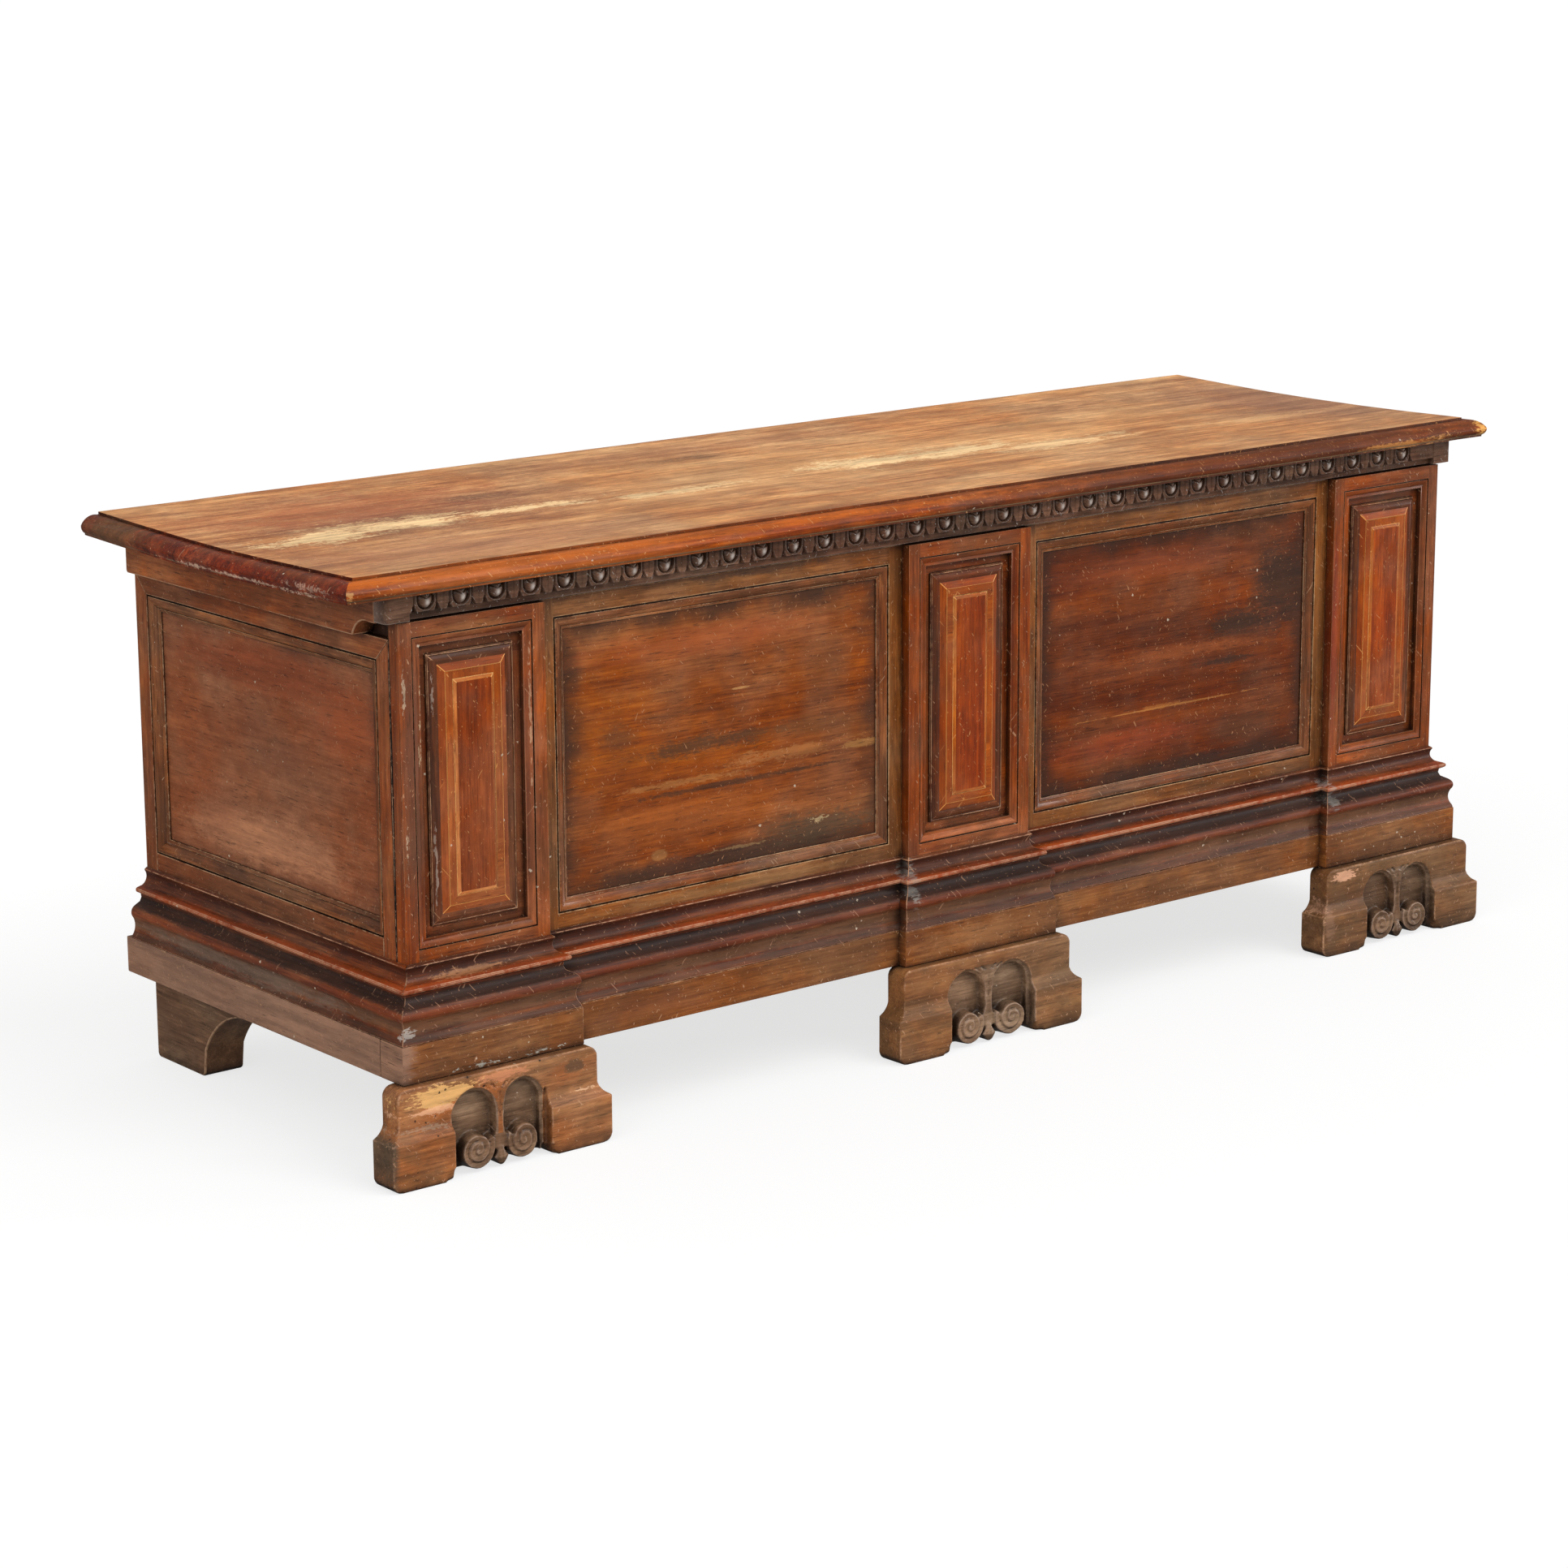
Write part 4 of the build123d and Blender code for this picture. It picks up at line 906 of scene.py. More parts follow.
PANEL_RIGHT = replace(
    PANEL, name="right panel walnut",
    dark=(90, 35, 5), middle=(116, 51, 11), light=(139, 66, 17), patina=(94, 42, 11),
    borders=(
        PolishAndShadeBorder((PANEL_CENTRE_X, 0.0, PANEL_CENTRE_Z), (PANEL_HALF_X, FAR, PANEL_HALF_Z),
               0.026, (60, 34, 20), 0.9),
    ),
    patches=(
        Patch((0.34, 0.0, 0.268), (0.22, FAR, 0.012), (60, 36, 22), 0.6, 0.8, 0.8),
        Patch((0.30, 0.0, 0.518), (0.20, FAR, 0.022), (134, 60, 18), 0.6, 0.6, 0.9),
        Patch((0.52, 0.0, 0.470), (0.06, FAR, 0.075), (59, 31, 12), 0.9, 0.8, 0.8),
        Patch((0.45, 0.0, 0.430), (0.07, FAR, 0.026), (65, 35, 12), 0.85, 1.0, 0.8),
        Patch((0.37, 0.0, 0.406), (0.12, FAR, 0.011), (149, 72, 17), 0.8, 0.9, 0.7),
        Patch((0.30, 0.0, 0.395), (0.14, FAR, 0.014), (130, 63, 17), 0.45, 0.9, 0.9),
        Patch((0.42, 0.0, 0.386), (0.06, FAR, 0.007), (69, 35, 12), 0.8, 1.3, 0.6),
        Patch((0.47, 0.0, 0.360), (0.04, FAR, 0.012), (74, 40, 14), 0.5, 0.9, 0.8),
        Patch((0.27, 0.0, 0.308), (0.15, FAR, 0.024), (141, 55, 11), 0.75, 0.7, 0.9),
        Patch((0.46, 0.0, 0.300), (0.09, FAR, 0.030), (78, 40, 14), 0.6, 0.8, 0.9),
        Patch((0.34, 0.0, 0.342), (0.21, FAR, 0.0014), (173, 109, 44), 0.7, 1.0, 0.5),
        Patch((0.325, 0.0, 0.344), (0.045, FAR, 0.004), (161, 96, 33), 0.55, 1.6, 0.5),
    ),
)
END_PANEL = Wood(
    "end panel walnut", dark=(125, 70, 40), middle=(138, 79, 47), light=(151, 91, 55),
    rubbed=(180, 132, 96), figure=20.0, roughness=0.4, specks=0.03, scratches=0.12,
    patina=(123, 61, 33), patina_share=0.3, relief=0.2,
    borders=(
        PolishAndShadeBorder((0.0, 0.0265, 0.3975), (FAR, 0.228, 0.148), 0.024, (78, 50, 38), 0.85),
    ),
    patches=(
        Patch((-0.77, 0.02, 0.497), (FAR, 0.21, 0.030), (150, 68, 30), 0.8, 0.5, 0.9),
        Patch((-0.77, -0.12, 0.46), (FAR, 0.10, 0.045), (157, 76, 36), 0.6, 0.6, 0.9),
        Patch((-0.77, 0.00, 0.40), (FAR, 0.16, 0.035), (121, 74, 48), 0.5, 0.7, 1.0),
        Patch((-0.77, 0.03, 0.305), (FAR, 0.20, 0.040), (196, 132, 92), 0.75, 0.7, 0.9),
        Patch((-0.77, 0.14, 0.33), (FAR, 0.07, 0.04), (157, 90, 56), 0.4, 0.7, 0.9),
        Patch((0.77, 0.0, 0.49), (FAR, 0.18, 0.03), (144, 74, 38), 0.5, 0.6, 0.9),
    ),
)
FRAME = Wood(
    "frame walnut", dark=(98, 57, 24), middle=(135, 80, 38), light=(165, 106, 55),
    rubbed=(188, 146, 104), figure=44.0, roughness=0.38, specks=0.05,
    patina=(96, 59, 29), patina_share=0.5,
    patches=(
        Patch((-0.34, -0.23, 0.236), (0.20, 0.05, 0.008), (152, 108, 62), 0.6, 0.8, 0.7),
        # Painted shadow of the carved strip along the top of the head rail.
        Patch((-0.30, -0.23, 0.585), (0.12, 0.05, 0.006), (75, 50, 32), 0.6, 1.2, 0.6),
        Patch((-0.115, -0.23, 0.42), (0.010, 0.05, 0.14), (152, 102, 56), 0.5, 0.7, 0.8),
        Patch((0.585, -0.23, 0.42), (0.010, 0.05, 0.12), (142, 94, 51), 0.5, 0.7, 0.8),
    ),
)
PILASTER = Wood(
    "pilaster walnut", dark=(107, 46, 17), middle=(141, 70, 29), light=(172, 91, 42),
    rubbed=(204, 156, 116), figure=50.0, roughness=0.36, edge_wear=0.6, specks=0.07,
    patina=(103, 58, 27), patina_share=0.55,
    patches=(
        Patch((-0.765, -0.246, 0.42), (0.020, 0.03, 0.22), (106, 65, 44), 0.75, 0.5, 0.8),
        Patch((-0.62, -0.246, 0.42), (0.020, 0.03, 0.20), (122, 64, 38), 0.55, 0.7, 0.8),
        Patch((-0.66, -0.246, 0.172), (0.06, 0.03, 0.018), (146, 94, 47), 0.6, 0.8, 0.8),
        Patch((-0.69, -0.246, 0.577), (0.07, 0.03, 0.008), (146, 92, 47), 0.6, 0.8, 0.8),
        Patch((-0.10, -0.246, 0.35), (0.010, 0.03, 0.18), (157, 64, 28), 0.6, 0.7, 0.8),
        Patch((0.0, -0.246, 0.17), (0.08, 0.03, 0.016), (86, 55, 34), 0.6, 0.8, 0.8),
        Patch((0.60, -0.246, 0.38), (0.008, 0.03, 0.18), (142, 51, 24), 0.6, 0.7, 0.8),
        Patch((-0.779, -0.2280, 0.39), (0.004, 0.0022, 0.20), (15, 8, 5), 1.0, 0.3, 0.3),
        Patch((-0.774, -0.246, 0.51), (0.003, 0.012, 0.05), (217, 192, 160), 0.45, 3.0, 0.25),
        Patch((-0.774, -0.246, 0.36), (0.003, 0.012, 0.06), (217, 192, 160), 0.45, 3.0, 0.25),
        Patch((-0.752, -0.246, 0.46), (0.003, 0.012, 0.06), (207, 180, 143), 0.6, 2.8, 0.25),
        Patch((-0.615, -0.246, 0.47), (0.002, 0.012, 0.10), (217, 180, 143), 0.35, 3.2, 0.25),
    ),
)
PILASTER_MARGIN = Wood(
    "pilaster margin walnut", dark=(75, 37, 20), middle=(105, 53, 27), light=(134, 74, 37),
    rubbed=(190, 142, 104), figure=60.0, roughness=0.34, specks=0.05, grime_and_shade_level=0.7,
    patina=(75, 47, 30), patina_share=0.45,
    patches=(
        Patch((-0.736, -0.246, 0.33), (0.002, 0.02, 0.05), (210, 190, 172), 0.4, 3.0, 0.25),
        Patch((-0.736, -0.246, 0.52), (0.002, 0.02, 0.03), (210, 190, 172), 0.4, 3.0, 0.25),
    ),
)
PILASTER_BEVEL = Wood(
    "pilaster bevel walnut", dark=(130, 56, 15), middle=(152, 70, 21), light=(176, 87, 31),
    rubbed=(222, 150, 76), figure=60.0, roughness=0.34, specks=0.04, edge_wear=0.9,
    patina=(122, 52, 17), patina_share=0.4,
)
PILASTER_FIELD = Wood(
    "pilaster field walnut", dark=(111, 42, 4), middle=(139, 56, 6), light=(163, 72, 12),
    rubbed=(206, 146, 84), figure=50.0, roughness=0.34, specks=0.02, relief=0.2,
    patina=(111, 45, 6), patina_share=0.35,
)
FIELD_STEP = Wood(
    "pilaster field step", dark=(150, 77, 29), middle=(184, 101, 43), light=(210, 128, 61),
    rubbed=(230, 170, 100), figure=60.0, roughness=0.34, specks=0.02,
    patina=(140, 71, 27), patina_share=0.5,
)
INLAY = Wood(
    "inlay pearwood", dark=(132, 61, 17), middle=(156, 75, 23), light=(180, 92, 31),
    rubbed=(226, 160, 84), figure=60.0, roughness=0.34, specks=0.02, edge_wear=0.7,
    patina=(130, 57, 17), patina_share=0.35, relief=0.15,
)
MOULDING = Wood(
    "moulding walnut", dark=(85, 48, 26), middle=(124, 71, 39), light=(161, 99, 55),
    rubbed=(190, 152, 116), figure=60.0, roughness=0.32, edge_wear=0.45, specks=0.06,
    patina=(83, 55, 36), patina_share=0.45,
)
BASE = Wood(
    "base moulding walnut", dark=(64, 27, 9), middle=(106, 50, 20), light=(142, 74, 31),
    rubbed=(186, 138, 106), figure=60.0, roughness=0.36, edge_wear=0.5, specks=0.08,
    patina=(57, 33, 18), patina_share=0.45,
    patches=(
        # The six bands by height follow the profile: mostly painted light and shade, dark in the
        # coves and fillets, a painted highlight on the lower roll and a painted grey sheen on the
        # low cove.
        Patch((0.0, 0.0, 0.2212), (FAR, FAR, 0.006), (62, 28, 17), 0.65, 0.4, 0.6),
        Patch((0.0, 0.0, 0.2040), (FAR, FAR, 0.006), (168, 70, 24), 0.7, 0.6, 0.6),
        Patch((0.0, 0.0, 0.1910), (FAR, FAR, 0.0065), (52, 32, 24), 0.85, 0.4, 0.6),
        Patch((0.0, 0.0, 0.1800), (FAR, FAR, 0.004), (118, 54, 30), 0.5, 0.6, 0.6),
        Patch((0.0, 0.0, 0.1675), (FAR, FAR, 0.0085), (112, 78, 54), 0.7, 0.5, 0.6),
        Patch((0.0, 0.0, 0.1540), (FAR, FAR, 0.004), (84, 54, 36), 0.6, 0.4, 0.6),
        # Painted grey sheen on the cove of the left end.
        Patch((-0.80, 0.06, 0.1655), (0.03, 0.28, 0.012), (118, 98, 84), 0.6, 0.8, 0.7),
        # Pale grey spots at the breaks: painted highlights on the curves, with some dust.
        Patch((-0.097, -0.25, 0.196), (0.012, 0.04, 0.034), (150, 144, 136), 0.6, 2.0, 0.5),
        Patch((0.588, -0.25, 0.196), (0.012, 0.04, 0.034), (150, 144, 136), 0.6, 2.0, 0.5),
        Patch((-0.797, -0.264, 0.160), (0.010, 0.010, 0.007), (200, 190, 180), 0.6, 2.6, 0.3),
        Patch((-0.70, -0.25, 0.212), (0.05, 0.03, 0.004), (190, 130, 84), 0.6, 1.6, 0.4),
    ),
)
PLINTH = Wood(
    "plinth walnut", dark=(105, 60, 30), middle=(136, 81, 41), light=(162, 105, 56),
    rubbed=(196, 150, 110), figure=34.0, roughness=0.38, edge_wear=0.15, specks=0.07,
    patina=(100, 63, 36), patina_share=0.45,
    patches=(
        Patch((0.0, -0.27, 0.128), (0.12, 0.05, 0.02), (166, 111, 64), 0.7, 0.7, 0.9),
        Patch((-0.70, -0.27, 0.1125), (0.08, 0.02, 0.003), (219, 216, 200), 0.8, 2.8, 0.15),
        Patch((-0.45, -0.25, 0.128), (0.12, 0.05, 0.02), (126, 69, 38), 0.5, 0.8, 0.9),
        # Painted grey sheen on the plinth's left end.
        Patch((-0.803, 0.0, 0.0), (0.02, FAR, FAR), (150, 114, 93), 0.8, 0.8, 0.9),
    ),
)
FOOT = Wood(
    "foot walnut", dark=(100, 63, 36), middle=(132, 88, 53), light=(156, 111, 69),
    rubbed=(206, 158, 122), figure=40.0, roughness=0.45, edge_wear=0.4, specks=0.09,
    patina=(89, 66, 42), patina_share=0.5, worm_holes=0.04,
)
FOOT_LEFT = replace(
    FOOT, name="left foot walnut", worm_holes=0.3,
    dark=(115, 68, 36), middle=(151, 94, 53), light=(179, 118, 69),
    patches=(
        Patch((-0.735, 0.0, 0.084), (0.065, FAR, 0.018), (176, 98, 42), 0.8, 0.8, 0.7),
        Patch((-0.60, 0.0, 0.086), (0.035, FAR, 0.018), (164, 92, 42), 0.6, 0.8, 0.8),
        Patch((-0.690, 0.0, 0.100), (0.05, FAR, 0.007), (200, 130, 90), 0.7, 2.0, 0.3),
        Patch((-0.765, 0.0, 0.095), (0.050, FAR, 0.014), (216, 164, 100), 1.0, 1.3, 0.2),
        Patch((-0.772, 0.0, 0.079), (0.05, FAR, 0.004), (216, 162, 124), 0.7, 1.8, 0.2),
        Patch((-0.79, 0.0, 0.062), (0.035, FAR, 0.006), (170, 138, 110), 0.6, 2.0, 0.3),
        Patch((-0.592, 0.0, 0.091), (0.014, FAR, 0.010), (92, 72, 50), 0.7, 0.8, 0.5),
        Patch((-0.585, 0.0, 0.063), (0.045, FAR, 0.0035), (208, 164, 126), 0.8, 2.2, 0.2),
        # Painted shade on the foot's left end face.
        Patch((-0.833, 0.0, 0.05), (0.011, FAR, 0.07), (84, 70, 54), 0.85, 0.5, 0.8),
    ),
)
FOOT_RIGHT = replace(
    FOOT, name="right foot walnut",
    patches=(
        Patch((0.593, 0.0, 0.098), (0.034, FAR, 0.009), (208, 154, 120), 0.9, 1.9, 0.2),
        Patch((0.553, 0.0, 0.075), (0.008, FAR, 0.026), (200, 148, 114), 0.8, 1.9, 0.2),
        Patch((0.56, 0.0, 0.045), (0.012, FAR, 0.03), (150, 110, 84), 0.5, 1.4, 0.4),
    ),
)
CARVING = Wood(
    "carved foot walnut", dark=(90, 66, 47), middle=(125, 96, 72), light=(157, 125, 97),
    rubbed=(160, 132, 112), figure=40.0, roughness=0.34, edge_wear=0.5, specks=0.1,
    patina=(99, 69, 49), patina_share=0.4, relief=0.4,
)
# The strip's pale rubbed colour is also the painted highlight on the eggs.
STRIP = Wood(
    "carved strip walnut", dark=(76, 50, 37), middle=(103, 71, 53), light=(134, 94, 71),
    rubbed=(182, 172, 164), figure=50.0, grime_and_shade_level=0.6, roughness=0.26, edge_wear=0.9, specks=0.02,
    grime_and_shade_colour=(24, 16, 12), patina=(82, 55, 42), patina_share=0.4, relief=0.25,
)
REAR = Wood(
    "rear foot walnut", dark=(93, 66, 46), middle=(125, 92, 66), light=(152, 115, 85),
    rubbed=(170, 134, 104), figure=40.0, roughness=0.45, specks=0.04,
    patina=(91, 63, 46), patina_share=0.5,
)
CLEAT = Wood(
    "cleat walnut", dark=(105, 55, 27), middle=(138, 74, 38), light=(165, 97, 52),
    rubbed=(176, 134, 102), figure=50.0, roughness=0.4, specks=0.04,
    patina=(107, 61, 33), patina_share=0.5,
    patches=(
        Patch((-0.779, -0.2280, 0.39), (0.004, 0.0022, 0.20), (15, 8, 5), 1.0, 0.3, 0.3),
    ),
)
CARCASS = Wood(
    "carcass poplar", dark=(118, 88, 58), middle=(150, 118, 82), light=(174, 142, 102),
    rubbed=(190, 162, 124), figure=24.0, roughness=0.75, edge_wear=0.3, grime_and_shade_level=0.7,
    patina=(104, 80, 56), patina_share=0.45, specks=0.02, worm_holes=0.12, scratches=0.08,
)
IRON = Iron()


# ---------------------------------------------------------------- grain and wear on the boards
class Grain(Enum):
    """Which way a board's fibres run: the axis along it, then the two across it."""

    ALONG_X = (0, 1, 2)
    ALONG_Y = (1, 0, 2)
    ALONG_Z = (2, 0, 1)


GrainRule = Callable[[Vector, Vector], tuple[Grain, int]]
ZoneRule = Callable[[Vector, Vector], int]
JOIN_DISTANCE = 0.01 * MM
WANDER_WAVES = 9.0


def one_board(grain: Grain) -> GrainRule:
    """Grain of a piece made of a single board."""
    return lambda centre, normal: (grain, 0)


def framed(horizontal: int, low: float, high: float, sill: float, head: float) -> GrainRule:
    """Grain of a frame or a mitred ring: upright stiles with rails between them.

    Args:
        horizontal: The axis that the rails run along, 0 or 1.
        low: Where the opening starts along that axis.
        high: Where it ends.
        sill: The opening's lowest height.
        head: Its highest.

    Returns:
        A rule that finds the grain and board of a face.
    """
    rail = Grain.ALONG_X if horizontal == 0 else Grain.ALONG_Y

    def rule(centre: Vector, normal: Vector) -> tuple[Grain, int]:
        """Picks the stile or the rail that a face belongs to."""
        across, up = centre[horizontal], centre.z
        beside = min(across - low, high - across)
        level = min(up - sill, head - up)
        upright = beside < level if min(beside, level) > 0 else beside <= 0
        if upright:
            return Grain.ALONG_Z, int(across > (low + high) / 2)
        return rail, 2 + int(up > (sill + head) / 2)

    return rule


def returned(centre: Vector, normal: Vector) -> tuple[Grain, int]:
    """Grain of a moulding along the front, whose short returns run along the depth."""
    if abs(normal.x) > 0.7:
        return Grain.ALONG_Y, 1 + int(centre.x > 0)
    return Grain.ALONG_X, 0


def single_zone(centre: Vector, normal: Vector) -> int:
    """The whole piece has its first finish."""
    return 0


@dataclass
class Piece:
    """A mesh that is being dressed: edges are marked, grain is laid and finishes assigned."""

    name: str
    finishes: tuple[Finish, ...]
    slot: str
    body: str
    grain: GrainRule
    zone: ZoneRule = single_zone
    mesh: bmesh.types.BMesh = field(default_factory=bmesh.new)

    def round_arrises(self, radius: float, segments: int = 2, angle: float = 28.0) -> None:
        """Rounds the outward edges and marks the new faces as open to wear.

        Args:
            radius: How much is taken off each side of an edge.
            segments: Faces across a rounded edge.
            angle: The least turn in degrees between two faces that counts as an edge.
        """
        edges = [edge for edge in self.mesh.edges
                 if len(edge.link_faces) == 2
                 and edge.calc_face_angle_signed(0.0) > math.radians(angle)]
        made = bmesh.ops.bevel(self.mesh, geom=edges, offset=radius, offset_type="OFFSET",
                               segments=segments, profile=0.5, affect="EDGES", material=-1,
                               clamp_overlap=True)
        self.mark_worn(made["faces"])

    def mark_worn(self, faces: Sequence[bmesh.types.BMFace]) -> None:
        """Marks faces that hands, feet and brooms rub."""
        layer = self.mesh.loops.layers.float.get("edge") \
            or self.mesh.loops.layers.float.new("edge")
        for face in faces:
            for loop in face.loops:
                loop[layer] = 1.0

    def mark_turns(self, full: float) -> None:
        """Marks rounded edges as rubbed, and hollows for painted shade, from how far the surface
        turns.

        Args:
            full: The mean turn, as a sine, at which an edge is wholly rubbed.
        """
        edge_layer = self.mesh.loops.layers.float.new("edge")
        hollow_layer = self.mesh.loops.layers.float.new("hollow")
        self.mesh.normal_update()
        turns = {}
        for vertex in self.mesh.verts:
            total = 0.0
            for edge in vertex.link_edges:
                away = vertex.co - edge.other_vert(vertex).co
                total += away.dot(vertex.normal) / max(away.length, 1e-9)
            turns[vertex] = total / max(len(vertex.link_edges), 1)
        for vertex in self.mesh.verts:
            nearby = [turns[edge.other_vert(vertex)] for edge in vertex.link_edges]
            turn = (turns[vertex] + sum(nearby)) / (1 + len(nearby))
            for loop in vertex.link_loops:
                loop[edge_layer] = smooth_step(turn, full * 0.2, full)
                loop[hollow_layer] = smooth_step(-turn, full * 0.15, full)

    def cut(self, axis: int, place: float) -> None:
        """Cuts the piece square to an axis."""
        normal = Vector([float(index == axis) for index in range(3)])
        cut_mesh(self.mesh, normal * place, normal)

    def slice_along(self, axis: int, step: float) -> None:
        """Cuts a piece at even steps, so that its long edges can wander.

        Args:
            axis: The axis that the cuts follow.
            step: The distance between two cuts.
        """
        places = [vertex.co[axis] for vertex in self.mesh.verts]
        low, high = min(places), max(places)
        count = int((high - low) / step)
        for index in range(1, count):
            self.cut(axis, low + (high - low) * index / count)

    def wander(self, amount: float, low: Vector, high: Vector) -> None:
        """Moves vertices a little by noise, within the piece's box.

        Args:
            amount: How far a vertex may move.
            low: The box's lowest corner.
            high: The box's highest corner.
        """
        shift = Vector((random.Random(self.name).uniform(0, 50), 0, 0))
        for vertex in self.mesh.verts:
            moved = vertex.co + noise.noise_vector(vertex.co * WANDER_WAVES + shift) * amount
            vertex.co = Vector([min(max(moved[i], low[i]), high[i]) for i in range(3)])

    def lay_grain(self) -> None:
        """Writes each face's grain coordinates, board tone and finish."""
        grain_layer = self.mesh.loops.layers.float_vector.new("grain")
        board_layer = self.mesh.faces.layers.float.new("board")
        for name in ("edge", "hollow"):
            if self.mesh.loops.layers.float.get(name) is None:
                self.mesh.loops.layers.float.new(name)
        for face in self.mesh.faces:
            centre = face.calc_center_median()
            grain, board = self.grain(centre, face.normal)
            chance = random.Random(f"{self.name} {board}")
            shift = Vector((chance.uniform(0, 9), chance.uniform(0, 9), chance.uniform(0, 9)))
            face[board_layer] = chance.random()
            face.material_index = self.zone(centre, face.normal)
            for loop in face.loops:
                place = loop.vert.co
                loop[grain_layer] = Vector([place[axis] for axis in grain.value]) + shift

    def finish(self, stands_for: Sequence[str], smooth_angle: float = 40.0) -> bpy.types.Object:
        """Turns the mesh into an object with its finishes.

        Args:
            stands_for: The solids that the piece replaces.
            smooth_angle: The most turn in degrees that is shaded as a curve.

        Returns:
            The finished object.
        """
        self.mesh.normal_update()
        self.lay_grain()
        for face in self.mesh.faces:
            face.smooth = True
        for edge in self.mesh.edges:
            edge.smooth = len(edge.link_faces) == 2 \
                and edge.calc_face_angle(0.0) < math.radians(smooth_angle)
        piece = add_object(self.name, write_mesh(self.name, self.mesh))
        for finish in self.finishes:
            piece.data.materials.append(finish.material())
        weighted = piece.modifiers.new("Flat faces stay flat", "WEIGHTED_NORMAL")
        weighted.keep_sharp = True
        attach(piece, self.body)
        if stands_for:
            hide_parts(*stands_for)
        log.info("%s: %d faces", self.name, len(piece.data.polygons))
        return piece


@dataclass
class Timber:
    """A board or moulding taken from its solid, with rounded arrises and laid grain."""

    node: str
    finishes: tuple[Finish, ...]
    slot: str
    grain: GrainRule
    zone: ZoneRule = single_zone
    arris: float = 0.9 * MM
    wander: float = 0.3 * MM
    slices: tuple[tuple[int, float], ...] = ()
    cuts: tuple[tuple[int, float], ...] = ()

    def piece(self) -> Piece:
        """Copies the solid's mesh and joins its loose triangles.

        Returns:
            The piece, ready to be dressed.
        """
        solid = frame["nodes"][self.node]
        piece = Piece(f"{self.node}_dressed", self.finishes, self.slot, solid["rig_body"],
                      self.grain, self.zone)
        piece.mesh.from_mesh(solid.data)
        bmesh.ops.remove_doubles(piece.mesh, verts=piece.mesh.verts, dist=JOIN_DISTANCE)
        bmesh.ops.dissolve_limit(piece.mesh, angle_limit=math.radians(0.1),
                                 verts=piece.mesh.verts, edges=piece.mesh.edges)
        return piece

    def build(self) -> bpy.types.Object:
        """Dresses the board.

        Returns:
            The finished object.
        """
        piece = self.piece()
        for axis, place in self.cuts:
            piece.cut(axis, place)
        for axis, step in self.slices:
            piece.slice_along(axis, step)
        if self.arris:
            piece.round_arrises(self.arris)
        piece.wander(self.wander, *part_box(self.node))
        return piece.finish([self.node])


# ---------------------------------------------------------------- lid
@dataclass
class Lid:
    """The moulded board, its two cleats and the carved strip under its front edge."""

    groove_inset: float = 22.4 * MM
    edge_height: float = 15.0 * MM
    back_edge: float = 2.0 * MM

    def build(self) -> None:
        """Builds and dresses the lid's pieces."""
        low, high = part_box("lid_board")

        def zone(centre: Vector, normal: Vector) -> int:
            """Top, front and back edge, ends, or underside."""
            inner = (low.x + self.groove_inset < centre.x < high.x - self.groove_inset
                     and centre.y > low.y + self.groove_inset)
            if normal.z < -0.7 and centre.z < high.z - self.edge_height:
                return 3
            if inner and normal.z > 0.25:
                return 0
            beside = min(centre.x - low.x, high.x - centre.x)
            return 1 if centre.y - low.y < beside or centre.y > high.y - self.back_edge else 2

        Timber("lid_board", (LID_TOP, LID_NOSE, LID_END, UNDERSIDE), "lid_walnut",
               one_board(Grain.ALONG_X), zone, arris=0.8 * MM, wander=0.6 * MM,
               slices=((0, 0.045), (1, 0.06))).build()
        for side in ("left", "right"):
            Timber(f"lid_cleat_{side}", (CLEAT,), "frame_walnut", one_board(Grain.ALONG_Y),
                   arris=1.5 * MM, slices=((1, 0.06),)).build()
        CarvedStrip().build()


